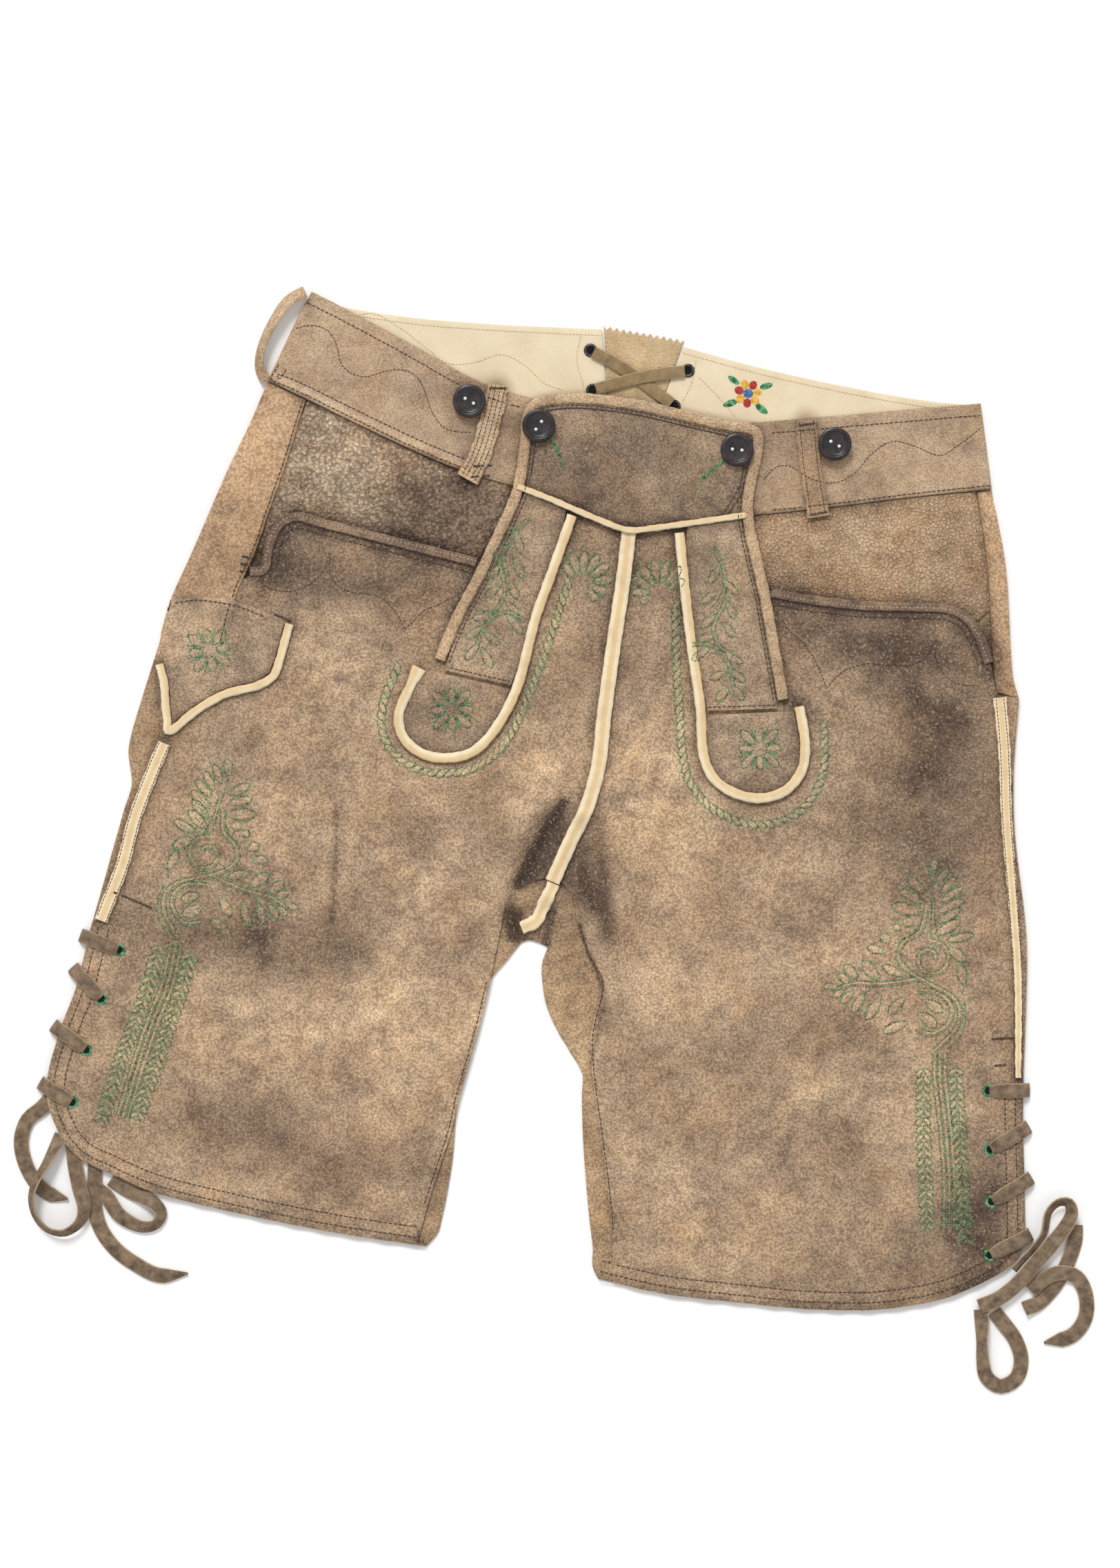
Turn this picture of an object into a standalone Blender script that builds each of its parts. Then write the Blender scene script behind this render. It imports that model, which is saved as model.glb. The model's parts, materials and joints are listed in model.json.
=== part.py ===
"""Short leather lederhosen laid flat, front up: back layer, front layer, fall flap, trims, buttons, laces.

Plan places are millimetres: +X to the right leg's side, +Y to the waist, measured from a point near the
middle of the garment. Heights are millimetres above the surface that the back layer rests on.
"""
import math

import bpy
from mathutils import Vector
from mathutils.geometry import delaunay_2d_cdt

MM = 0.001
OFFSET = (0.6, -2.0)    # brings the middle of the garment's box onto the frame's origin

# Thicknesses and clearances
LEATHER = 1.6           # panels
BAND = 2.4              # the front waistband, folded leather
FACING = 1.0            # the thinner hide behind the pocket mouths
OVERLAY = 1.5           # fall flap, straps, tongues, pocket flap
TRIM = 1.8              # cream strips and the rolled binding
LACE = 1.4
LACE_WIDTH = 10.0
BACK_LACE = 0.9         # the thin lace that crosses the back gusset
BACK_LACE_WIDTH = 8.0
GAP = 0.3               # between two pieces at a seam
LAYER_GAP = 0.45        # between two layers, whose facets differ a little

# Heights of the front layer's underside
BACK_TOP = LEATHER
REST = BACK_TOP + GAP
BULGE = 3.7             # how far the front layer stands off the back one, away from its edges
BULGE_REACH = 36.0
FOLD_DEPTH = 1.6        # the crotch fold, a trough beside the centre strip
FOLD_REACH = 9.0

# What lies on the front layer starts this far above its underside
ON_PANEL = LEATHER + LAYER_GAP
ON_BAND = BAND + 0.75
ON_FLAP = ON_BAND + OVERLAY + LAYER_GAP

# Widths of the strips
BINDING_WIDTH = 7.0
STRAP_TRIM_WIDTH = 6.6
CENTRE_WIDTH = 10.0
SIDE_STRIP_WIDTH = 9.0
SIDE_STRIP_END = 4.0    # the right one narrows down to this
POCKET_TRIM_WIDTH = 5.6
PIPING_WIDTH = 4.0
WELT_WIDTH = 6.0
LOOP_WIDTH = 13.0

# Fittings
BUTTON_RADIUS = 11.0
BUTTON_HEIGHT = 4.6
BUTTON_SIDES = 14
EYELET_OUTER = 4.6
EYELET_INNER = 2.6
EYELET_HEIGHT = 0.8
EYELET_SIDES = 10

# Distances between the points of a mesh
STEP = 16.0             # along a curved edge
TRIM_STEP = 9.0         # along the strap trims
SHORT_STEP = 6.0        # along the crotch strip and the short runs of leg lace
LACE_STEP = 8.0
GRID = 32.0             # inside a panel
FACING_GRID = 26.0
FLAP_GRID = 20.0
BAND_GRID = 18.0

# The garment's edges, each from the waist down or from the outer side inwards
LEFT_HIP = [(-265.5, 239), (-272, 210), (-281, 178), (-293, 128), (-304, 84)]
LEFT_SEAT = [(-304, 84), (-307, 51), (-313, 4), (-314, -19), (-308, -39), (-310, -56), (-318, -136)]
LEFT_FRONT_SIDE = [(-304, 84), (-307, 58), (-305, 38), (-299, 14), (-295, -6), (-302, -40), (-309, -91),
                   (-318, -136)]
LEFT_LEG = [(-318, -136), (-321, -180), (-325, -200), (-328.5, -226), (-329, -246), (-324, -262),
            (-312, -280)]
LEFT_HEM = [(-312, -280), (-299, -290), (-278, -296), (-250, -303), (-200, -307), (-126, -309), (-62, -307.5)]
LEFT_INSEAM_BACK = [(-56, -297), (-55, -280), (-55, -250), (-58, -212), (-56, -190), (-53, -160),
                    (-51, -127), (-43, -112), (-35, -98)]
LEFT_INSEAM_FRONT = [(-68, -306), (-66, -280), (-61, -245), (-58.5, -225), (-58, -210), (-56, -190),
                     (-53, -160), (-51, -127), (-50, -90), (-48, -72), (-38, -60)]
RIGHT_HIP = [(220, 252), (238, 204), (250, 154), (256, 131), (262, 119)]
RIGHT_SIDE = [(262, 119), (267, 71), (275, 30), (292, -27), (298, -55), (309, -131)]
RIGHT_LEG = [(309, -131), (313, -155), (320, -190), (325, -215), (328, -236), (325, -248), (316, -259)]
RIGHT_HEM = [(316, -259), (300, -271), (280, -283), (250, -294), (230, -299), (190, -305), (150, -308),
             (100, -311), (54, -309)]
RIGHT_INSEAM_BACK = [(49, -302), (47, -290), (41, -270), (33, -240), (27, -215), (22, -190), (20, -177),
                     (0, -153), (-12, -135), (-19, -110), (-17, -98)]
RIGHT_INSEAM_FRONT = [(64, -309.5), (57, -276), (50, -250), (38, -212), (30, -187), (25, -170), (21, -150),
                      (22, -130), (22, -115), (10, -99), (0, -80), (-7, -62)]
JOIN = (-21, -52)       # where the centre seam meets the inseams

# Seams inside the garment
LEFT_WAIST_SEAM = [(-265.5, 239.5), (-238, 232), (-200, 221), (-160, 210), (-125, 202.5), (-62, 196)]
RIGHT_WAIST_SEAM = [(36, 199), (80, 211), (115, 221), (160, 235), (220, 252.5)]
LEFT_SIDE_SEAM = [(-238, 231.5), (-244, 184), (-248, 161), (-253, 129), (-261, 96), (-264, 64)]
RIGHT_SIDE_SEAM = [(211, 249), (226, 201), (243, 132), (247, 120)]
LEFT_POCKET = [(-255, 114), (-247, 116), (-246, 134), (-241, 149), (-231, 155), (-215, 154), (-161, 150),
               (-108, 146)]
RIGHT_POCKET = [(88, 160), (114, 160), (147, 162), (181, 167), (206, 170), (219, 166), (229, 156), (239, 139)]
CENTRE_SEAM = [(-13, 197), (-12, 182), (-10, 145), (-9, 106), (-7, 57), (-5, 27), (-8, -3), (-14, -24),
               (-21, -52)]
FOLD = [(-22, 6), (-34, -20), (-41, -42), (-46, -66)]

# The waistband's edges
LEFT_WAIST_TOP = [(-247, 303), (-230, 298), (-205, 290), (-175, 280), (-124, 263), (-70, 257)]
RIGHT_WAIST_TOP = [(46, 266), (67, 271), (127, 287), (180, 301), (203, 307)]
BACK_TOP_LEFT = [(-246, 299.5), (-223, 297), (-176, 298), (-124, 303), (-53, 312)]
BACK_TOP_RIGHT = [(2.5, 310), (58, 305), (124, 302.5), (173, 303), (202, 306)]
BACK_BAND_LEFT_FOOT = [(-262.5, 246), (-200, 245), (-124, 248), (-39.3, 257)]
BACK_BAND_RIGHT_FOOT = [(-8.5, 256), (60, 252), (124, 250), (218, 254)]

# The fall flap: its outer edge, then the trims that divide it
FLAP_LEFT_EDGE = [(-124, 78), (-118, 106), (-108, 137), (-101, 163), (-93, 196), (-93, 220), (-94.5, 246)]
FLAP_TOP_EDGE = [(-94.5, 246), (-92, 255), (-84, 261), (-62, 267), (-25, 269.5), (12, 268), (40, 266.5),
                 (57, 266.5), (64, 262), (66, 250)]
FLAP_RIGHT_EDGE = [(66, 250), (66, 212), (75, 186), (86, 160), (100, 122), (111, 92)]
PIPING = [(-90, 199), (-67, 194.5), (-48, 190), (-18, 183.5), (-10, 183.5), (24, 194), (62, 206.5)]
LEFT_STRAP_TRIM = [(-51, 186.5), (-58, 145), (-63, 116), (-66.5, 72), (-72, 50), (-80, 32), (-90, 20),
                   (-105, 14), (-121, 14), (-135, 22), (-141, 36), (-138, 52), (-132, 73)]
RIGHT_STRAP_TRIM = [(21, 187.5), (30, 155), (42, 115), (55, 75), (62, 46), (72, 31), (88, 24), (105, 24),
                    (120, 32), (128, 47), (127, 65), (119, 88)]

# The pocket flap on the left hip, round from its inner top corner down to the tip and back up
POCKET_FLAP_TOP = [(-302, 86), (-290, 90.5), (-262, 92), (-240, 88), (-220, 83)]
POCKET_FLAP_EDGE = [(-220, 83), (-225, 46), (-235, 37), (-255, 28), (-272, 14), (-284, 0)]
POCKET_FLAP_OUTER = [(-291.5, -3), (-297, 14), (-301, 30), (-306, 41), (-306, 62), (-302, 86)]

LEFT_SIDE_STRIP = [(-291, -9), (-297, -36), (-302, -64), (-304, -91), (-312, -132)]
RIGHT_SIDE_STRIP = [(249, 117), (258, 84), (268, 37), (281, -14), (293, -63), (305, -129)]
CROTCH_STRIP = [(-21, -57), (-24.5, -70), (-28, -82), (-36, -88)]

LEFT_FRONT_LOOP = [(-114, 262), (-115.5, 235), (-118, 215), (-123, 199)]
RIGHT_FRONT_LOOP = [(91, 275), (99, 246), (109.5, 215)]

BUTTONS = {
    "button_waist_left": (-131, 249),
    "button_flap_left": (-83, 241),
    "button_flap_right": (49, 248),
    "button_waist_right": (112, 263),
}
BACK_EYELETS = {
    "back_eyelet_upper_left": (-58, 297),
    "back_eyelet_upper_right": (8, 295),
    "back_eyelet_lower_left": (-52, 271),
    "back_eyelet_lower_right": (3, 270),
}

# A leg lace's short run: from its eyelet, over the leg's edge, down to the surface beside it
LEG_EYELETS_LEFT = [(-297, -149, -324, -144), (-303, -183, -325.5, -166), (-307, -218, -331.5, -206),
                    (-310, -254, -333.5, -245)]
LEG_EYELETS_RIGHT = [(287, -141, 314, -136), (295, -179, 318, -160), (302, -213, 325.5, -193),
                     (307, -248, 331.5, -230)]

# Free laces: x, y, height of the middle, and the tilt of the width about the route in degrees
FREE_LACES = {
    "free_lace_left_outer": [(-330, -262, 1.2, 8), (-337.5, -271, 1.2, 5), (-339.5, -285, 1.2, 5),
                             (-334.5, -299, 1.2, 0), (-326, -310, 1.2, 0), (-316, -316.5, 1.2, 6),
                             (-302, -318, 1.6, 16)],
    "free_lace_left_loop": [(-315, -287, 5.5, 60), (-320, -298, 6.5, 75), (-324, -309, 7.8, 82),
                            (-325.5, -320, 7.8, 85), (-321, -332, 7, 85), (-311, -340, 6.6, 85),
                            (-300, -340, 7, 80), (-291.5, -332, 7.6, 70), (-290, -321, 6.4, 40),
                            (-295.5, -309, 4.2, 12), (-302, -297, 3.2, 0)],
    "free_lace_left_tail": [(-287.5, -297, 1.2, 0), (-286, -308, 1.2, 0), (-283.5, -321, 1.2, 0),
                            (-277, -334, 1.2, 0), (-265, -345.5, 1.2, 0), (-250, -353, 1.2, 0),
                            (-234, -357.5, 1.2, 0), (-215, -353, 1.2, 0)],
    "free_lace_left_inner": [(-262, -308.9, 1.2, 0), (-252, -309.1, 2.4, -22),
                             (-243.5, -311.6, 4.4, -48), (-239, -317.1, 5, -60), (-241, -323.6, 5, -60),
                             (-249, -327.1, 4.4, -44), (-259, -325.6, 3.4, -24),
                             (-268, -321.1, 3.2, -6), (-276, -312.4, 3.2, 0), (-282, -306.9, 3.6, 0)],
    "free_lace_right_bow": [(324, -255, 6.4, 75), (329, -247, 6.4, 78), (334.5, -238.5, 6.4, 80),
                            (339.5, -228, 6.4, 80), (340, -214, 6.6, 76), (345, -206, 7, 72),
                            (352, -204.5, 7, 66), (355.5, -211, 6.8, 55), (352.5, -222, 6.2, 36),
                            (346, -234, 5.8, 14), (338.5, -246.5, 5.6, 0), (330, -261, 5.6, 0),
                            (318, -275, 5.6, 0), (306, -283, 4.4, 0)],
    "free_lace_right_back": [(360, -219, 1.4, 8), (361.5, -230, 1.2, 0), (359, -245, 1.2, 0),
                             (354, -260, 1.2, 0), (346, -273, 1.2, 0), (336, -279.5, 2.4, 30)],
    "free_lace_right_tail": [(338, -267, 2.9, 0), (346, -257, 3.2, 0), (356, -251.5, 3.4, 0),
                             (367, -253, 2.4, 0), (375, -264, 1.4, 0), (377, -279, 1.2, 0),
                             (370, -292, 1.2, 0), (353, -299.5, 1.2, 0)],
    "free_lace_right_loop": [(310, -294, 3.4, 40), (312, -306, 5.4, 65), (315, -319, 4.6, 45),
                             (320, -329, 2.6, 15), (330, -333, 1.2, 0), (339, -326, 1.2, 0),
                             (340, -313, 1.2, 0), (334, -301, 1.2, 0), (325, -292, 1.6, 5)],
}

# The belt loop that stands out from the left side: x, y, height of the middle, tilt
SIDE_LOOP = [(-253, 303, 6.2, 35), (-262, 293, 5.6, 50), (-268, 279, 5.6, 70), (-273, 267, 5.6, 90),
             (-274.5, 255, 5.6, 120), (-273, 246, 5.6, 125), (-268.5, 241, 5.6, 110)]
SIDE_LOOP_WIDTH = 10.0

# Colours as sRGB, then roughness
LOOKS = {
    "suede": ((0.59, 0.48, 0.36), 0.85),
    "suede_back": ((0.62, 0.50, 0.37), 0.85),
    "side_leather": ((0.67, 0.53, 0.38), 0.8),
    "grain_leather": ((0.50, 0.44, 0.38), 0.75),
    "welt_leather": ((0.30, 0.26, 0.25), 0.7),
    "band_leather": ((0.60, 0.50, 0.39), 0.75),
    "overlay_leather": ((0.50, 0.42, 0.35), 0.8),
    "binding_leather": ((0.64, 0.54, 0.42), 0.75),
    "cream_trim": ((0.97, 0.91, 0.78), 0.7),
    "lining_cream": ((0.92, 0.86, 0.74), 0.9),
    "gusset_suede": ((0.78, 0.68, 0.53), 0.85),
    "lace_leather": ((0.47, 0.40, 0.32), 0.7),
    "button_horn": ((0.15, 0.13, 0.14), 0.35),
    "eyelet_metal": ((0.30, 0.29, 0.28), 0.4),
}


def linear(value):
    return value / 12.92 if value <= 0.04045 else ((value + 0.055) / 1.055) ** 2.4


def make_material(name):
    colour, roughness = LOOKS[name]
    material = bpy.data.materials.new(name)
    material.use_nodes = True
    shader = material.node_tree.nodes["Principled BSDF"]
    shader.inputs["Base Color"].default_value = (*[linear(value) for value in colour], 1.0)
    shader.inputs["Roughness"].default_value = roughness
    shader.inputs["Metallic"].default_value = 0.8 if name == "eyelet_metal" else 0.0
    return material


def smooth(points, step=STEP):
    """Points every few millimetres along a rounded curve through the given ones, of any size."""
    ends = [Vector(point) for point in points]
    ends = [2 * ends[0] - ends[1], *ends, 2 * ends[-1] - ends[-2]]
    found = []
    for before, start, end, after in zip(ends, ends[1:], ends[2:], ends[3:]):
        length = (end - start).length
        into = (end - before) * length / max((end - start).length + (start - before).length, 1e-6)
        out = (after - start) * length / max((after - end).length + (end - start).length, 1e-6)
        count = max(1, math.ceil(length / step))
        for index in range(count):
            t = index / count
            found.append(start * (2 * t ** 3 - 3 * t ** 2 + 1) + into * (t ** 3 - 2 * t ** 2 + t)
                         + end * (3 * t ** 2 - 2 * t ** 3) + out * (t ** 3 - t ** 2))
    return found + [ends[-2]]


def beside(points, distance):
    """The curve moved to its left by a distance, in the plane."""
    moved = []
    for index, point in enumerate(points):
        ahead = points[min(index + 1, len(points) - 1)]
        behind = points[max(index - 1, 0)]
        along = (ahead - behind).normalized()
        moved.append(point + Vector((-along.y, along.x)) * distance)
    return moved


def joined(*stretches):
    """One closed outline from stretches given in order, with no point twice."""
    outline = []
    for stretch in stretches:
        for point in stretch:
            point = Vector(point[:2])
            if not outline or (point - outline[-1]).length > 0.4:
                outline.append(point)
    while (outline[0] - outline[-1]).length < 0.4:
        outline.pop()
    return outline


def between(points, low, high, axis=1):
    """The part of a curve whose place on one axis lies between two values."""
    return [point for point in points if low <= point[axis] <= high]


def inside(point, outline):
    x, y = point[0], point[1]
    hit = False
    for a, b in zip(outline, outline[1:] + outline[:1]):
        if (a.y > y) != (b.y > y) and x < (b.x - a.x) * (y - a.y) / (b.y - a.y) + a.x:
            hit = not hit
    return hit


def distance(point, line, closed=True):
    """From a point to the nearest place on a line of straight runs."""
    place = Vector(point[:2])
    ends = line[1:] + line[:1] if closed else line[1:]
    best = 1e9
    for a, b in zip(line, ends):
        run = b - a
        t = max(0.0, min(1.0, (place - a).dot(run) / max(run.length_squared, 1e-9)))
        best = min(best, (place - a - run * t).length)
    return best


left_pocket = smooth(LEFT_POCKET)
right_pocket = smooth(RIGHT_POCKET)
left_side_seam = smooth(LEFT_SIDE_SEAM)
right_side_seam = smooth(RIGHT_SIDE_SEAM)
left_waist_seam = smooth(LEFT_WAIST_SEAM)
right_waist_seam = smooth(RIGHT_WAIST_SEAM)
centre_seam = smooth(CENTRE_SEAM)
fold_line = smooth(FOLD)
front_edge = joined(
    smooth(LEFT_WAIST_TOP), smooth(FLAP_TOP_EDGE), smooth(RIGHT_WAIST_TOP), smooth(RIGHT_HIP),
    smooth(RIGHT_SIDE), smooth(RIGHT_LEG), smooth(RIGHT_HEM), smooth(RIGHT_INSEAM_FRONT), [JOIN],
    smooth(LEFT_INSEAM_FRONT)[::-1], smooth(LEFT_HEM)[::-1], smooth(LEFT_LEG)[::-1],
    smooth(LEFT_FRONT_SIDE)[::-1], smooth(LEFT_HIP)[::-1],
)


def front_height(x, y):
    """The underside of the front layer, which rounds down to the back layer at its own edges."""
    reach = distance((x, y), front_edge) if inside((x, y), front_edge) else 0.0
    stand_off = BULGE * (1 - math.exp(-reach / BULGE_REACH))
    trough = FOLD_DEPTH * math.exp(-(distance((x, y), fold_line, closed=False) / FOLD_REACH) ** 2)
    return REST + max(0.0, stand_off - trough)


def above_front(offset):
    return lambda x, y: front_height(x, y) + offset


def level(height):
    return lambda x, y: height


def make_object(name, points, faces, material):
    mesh = bpy.data.meshes.new(name)
    mesh.from_pydata([Vector(point) * MM for point in points], [], faces)
    mesh.materials.append(material)
    obj = bpy.data.objects.new(name, mesh)
    bpy.context.scene.collection.objects.link(obj)
    obj.parent = garment
    return obj


def inner_points(outline, spacing, extra=()):
    """A staggered grid inside an outline, clear of its edge, closer together along the fold."""
    low_x, high_x = min(p.x for p in outline), max(p.x for p in outline)
    low_y, high_y = min(p.y for p in outline), max(p.y for p in outline)
    found = []
    rows = int((high_y - low_y) / (spacing * 0.87))
    for row in range(rows + 1):
        for column in range(int((high_x - low_x) / spacing) + 1):
            found.append(Vector((low_x + (column + row % 2 * 0.5) * spacing,
                                 low_y + row * spacing * 0.87)))
    near_fold = [place for side in (-14, -7, 0, 7, 14) for place in beside(fold_line, side)]
    found = [place for place in found if distance(place, fold_line, closed=False) > 22]
    if extra:
        found = [place for place in found if distance(place, extra, closed=False) > 12]
    found = [place for place in found + near_fold
             if inside(place, outline) and distance(place, outline) > 0.45 * min(spacing, 12)]
    return found + [place for place in extra if inside(place, outline) and distance(place, outline) > 2]


def panel(name, outline, under, thickness, material, spacing=GRID, flat=False, extra=()):
    """A wall of cloth over an outline: the same triangles below and above, closed round the edge."""
    corners = list(outline)
    places = corners + ([] if flat else inner_points(outline, spacing, extra))
    places, _, triangles, *_ = delaunay_2d_cdt(places, [], [list(range(len(corners)))], 1, 0.01)
    below = [(p.x, p.y, under(p.x, p.y)) for p in places]
    above = [(x, y, z + thickness) for x, y, z in below]
    count = len(places)
    faces = []
    edges = set()
    for triangle in triangles:
        a, b, c = triangle
        if (places[b] - places[a]).cross(places[c] - places[a]) < 0:
            b, c = c, b
        faces.append((a + count, b + count, c + count))
        faces.append((a, c, b))
        edges |= {(a, b), (b, c), (c, a)}
    for a, b in edges:
        if (b, a) not in edges:
            faces.append((a, b, b + count, a + count))
    return make_object(name, below + above, faces, material)


def strip(name, path, width, under, thickness, material, end_width=None):
    """A narrow flat piece that follows a path on what lies beneath it."""
    end_width = width if end_width is None else end_width
    count = len(path)
    points = []
    for index, place in enumerate(path):
        half = (width + (end_width - width) * index / (count - 1)) / 2
        ahead, behind = path[min(index + 1, count - 1)], path[max(index - 1, 0)]
        along = (ahead - behind).normalized()
        side = Vector((-along.y, along.x)) * half
        for edge in (place + side, place - side):
            height = under(edge.x, edge.y)
            points += [(edge.x, edge.y, height), (edge.x, edge.y, height + thickness)]
    return make_object(name, points, swept_faces(count), material)


def swept_faces(count):
    """Faces of a four-sided bar whose sections list left foot, left top, right foot, right top."""
    faces = [(2, 3, 1, 0)]
    for index in range(count - 1):
        a = 4 * index
        faces += [(a + 5, a + 4, a, a + 1), (a + 7, a + 5, a + 1, a + 3),
                  (a + 6, a + 7, a + 3, a + 2), (a + 4, a + 6, a + 2, a)]
    last = 4 * (count - 1)
    faces.append((last + 1, last + 3, last + 2, last))
    return faces


def ribbon(name, route, width, thickness, material, step=LACE_STEP):
    """A flat band through the air: each point of its route also gives the tilt of its width."""
    path = [Vector(point) for point in route]
    path = smooth_with_tilt(path, step)
    points = []
    for index, (place, tilt) in enumerate(path):
        ahead, behind = path[min(index + 1, len(path) - 1)][0], path[max(index - 1, 0)][0]
        along = (ahead - behind).normalized()
        level_side = Vector((-along.y, along.x, 0)).normalized()
        upward = along.cross(level_side)
        turn = math.radians(tilt)
        across = level_side * math.cos(turn) + upward * math.sin(turn)
        face = along.cross(across).normalized()
        reach = width / 2 * abs(across.z) + thickness / 2 * abs(face.z)
        place = Vector((place.x, place.y, max(place.z, reach + 0.1)))
        for edge in (across * width / 2, -across * width / 2):
            for skin in (-thickness / 2, thickness / 2):
                points.append(place + edge + face * skin)
    return make_object(name, points, swept_faces(len(path)), material)


def smooth_with_tilt(route, step):
    """The rounded route as places, each with its tilt."""
    found = []
    places = smooth([(p[0], p[1], p[2]) for p in route], step)
    marks = [Vector(p[:3]) for p in route]
    for place in places:
        nearest = min(range(len(marks) - 1), key=lambda i: run_distance(place, marks[i], marks[i + 1]))
        a, b = marks[nearest], marks[nearest + 1]
        t = max(0.0, min(1.0, (place - a).dot(b - a) / (b - a).length_squared))
        found.append((place, route[nearest][3] * (1 - t) + route[nearest + 1][3] * t))
    return found


def run_distance(place, a, b):
    t = max(0.0, min(1.0, (place - a).dot(b - a) / (b - a).length_squared))
    return (place - a - (b - a) * t).length


def turned(name, profile, sides, place, material):
    """A round piece from a profile of (radius, height) points, foot first; radius 0 closes it."""
    points = []
    rings = []
    for radius, height in profile:
        if radius == 0:
            rings.append([len(points)] * sides)
            points.append((place[0], place[1], place[2] + height))
            continue
        rings.append(list(range(len(points), len(points) + sides)))
        for side in range(sides):
            angle = 2 * math.pi * side / sides
            points.append((place[0] + radius * math.cos(angle), place[1] + radius * math.sin(angle),
                           place[2] + height))
    faces = []
    closed = list(zip(rings, rings[1:])) + ([(rings[-1], rings[0])] if profile[0][0] else [])
    for low, high in closed:
        for side in range(sides):
            ahead = (side + 1) % sides
            corners = [low[side], low[ahead], high[ahead], high[side]]
            faces.append(tuple(dict.fromkeys(corners)))
    return make_object(name, points, faces, material)


def build_back_layer():
    """The back layer lies flat on the surface: two panels, the lined waistband and the gusset wedge."""
    floor = level(0.0)
    left = joined(
        [(-40, 256.6)], [(-24.15, 208)], [(-24.15, -50)], [(-24.15, -96)], [(-30, -95.5)],
        smooth(LEFT_INSEAM_BACK)[::-1], smooth(LEFT_HEM)[::-1], smooth(LEFT_LEG)[::-1],
        smooth(LEFT_SEAT)[::-1], smooth(LEFT_HIP)[::-1], beside(smooth(BACK_BAND_LEFT_FOOT), -GAP),
    )
    right = joined(
        [(-8.2, 255.6)], beside(smooth(BACK_BAND_RIGHT_FOOT), -GAP), smooth(RIGHT_HIP), smooth(RIGHT_SIDE),
        smooth(RIGHT_LEG), smooth(RIGHT_HEM), smooth(RIGHT_INSEAM_BACK), [(-23.85, -96)],
        [(-23.85, -50)], [(-23.85, 208)],
    )
    panel("back_panel_left", left, floor, LEATHER, material["suede_back"], flat=True)
    panel("back_panel_right", right, floor, LEATHER, material["suede_back"], flat=True)
    left_band = joined(smooth(BACK_TOP_LEFT), smooth(BACK_BAND_LEFT_FOOT)[::-1])
    right_band = joined(smooth(BACK_TOP_RIGHT), smooth(BACK_BAND_RIGHT_FOOT)[::-1])
    panel("waistband_back_left", left_band, floor, LEATHER, material["lining_cream"], flat=True)
    panel("waistband_back_right", right_band, floor, LEATHER, material["lining_cream"], flat=True)
    gusset = joined([(-52.2, 315), (2, 315), (-8.8, 257), (-24, 209.5), (-38.9, 257)])
    panel("back_gusset", gusset, floor, LEATHER, material["gusset_suede"], flat=True)


def build_front_panels():
    """Waist to hem on each side of the centre seam. The top edge is the pocket mouth, then runs up inside."""
    under = above_front(0.0)
    left = joined(
        beside(centre_seam, -GAP / 2), [(-24, -51), (-38, -60)], smooth(LEFT_INSEAM_FRONT)[::-1],
        smooth(LEFT_HEM)[::-1], smooth(LEFT_LEG)[::-1], between(smooth(LEFT_FRONT_SIDE), -140, 55)[::-1],
        [(-305.8, 60.8), (-264.4, 60.8)], between(beside(left_side_seam, GAP / 2), 65, 110)[::-1],
        left_pocket[1:], [(-72, 144), (-71, 195)],
    )
    right = joined(
        [(-12.6, 196.5), (45, 196.5), (46, 160)], right_pocket, [(245.5, 122), (248, 118.7)],
        smooth(RIGHT_SIDE), smooth(RIGHT_LEG), smooth(RIGHT_HEM), smooth(RIGHT_INSEAM_FRONT),
        [(-18, -52)], beside(centre_seam, GAP / 2)[::-1],
    )
    panel("front_panel_left", left, under, LEATHER, material["suede"])
    panel("front_panel_right", right, under, LEATHER, material["suede"])
    return left, right


def build_hips(left_panel, right_panel):
    """Side panels on the front layer, and the pocket facings, which dip under the front panels."""
    under = above_front(0.0)
    left_side = joined(smooth(LEFT_HIP), [(-306.3, 61.3), (-264.5, 61.3)],
                       beside(left_side_seam, -GAP / 2)[::-1])
    right_side = joined([(211.3, 248.6)], [(219.6, 250.8)], smooth(RIGHT_HIP)[1:], [(262, 119.2)],
                        beside(right_side_seam, GAP / 2)[::-1])
    panel("side_panel_left", left_side, under, LEATHER, material["side_leather"])
    panel("side_panel_right", right_side, under, LEATHER, material["side_leather"])

    def dipped(neighbour):
        def height(x, y):
            reach = 0.0 if inside((x, y), neighbour) else distance((x, y), neighbour)
            share = min(1.0, max(0.0, 1 - (reach - 2.0) / 8.0))
            return max(REST, front_height(x, y) - (FACING + 0.65) * share * share * (3 - 2 * share))
        return height

    left_facing = joined(
        [(-237.4, 230.8)], between(beside(left_waist_seam, -GAP), -232, -80, axis=0), [(-74.5, 196.8)],
        [(-73.5, 142), (-80, 124), (-150, 126), (-215, 132), (-240, 120)],
        between(beside(left_side_seam, GAP / 2), 118, 227)[::-1],
    )
    right_facing = joined(
        [(47, 201)], between(beside(right_waist_seam, -GAP), 52, 205, axis=0), [(209.7, 248.4)],
        between(beside(right_side_seam, -GAP / 2), 160, 243),
        [(222, 161), (208, 152), (120, 137), (62, 139), (47, 158)],
    )
    left_mouth = beside(left_pocket, 1.5) + beside(left_pocket, 11)[2:]
    right_mouth = beside(right_pocket, 1.5) + beside(right_pocket, 11)[:-2]
    panel("hip_facing_left", left_facing, dipped(left_panel), FACING, material["grain_leather"],
          FACING_GRID, extra=left_mouth)
    panel("hip_facing_right", right_facing, dipped(right_panel), FACING, material["grain_leather"],
          FACING_GRID, extra=right_mouth)


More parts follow.
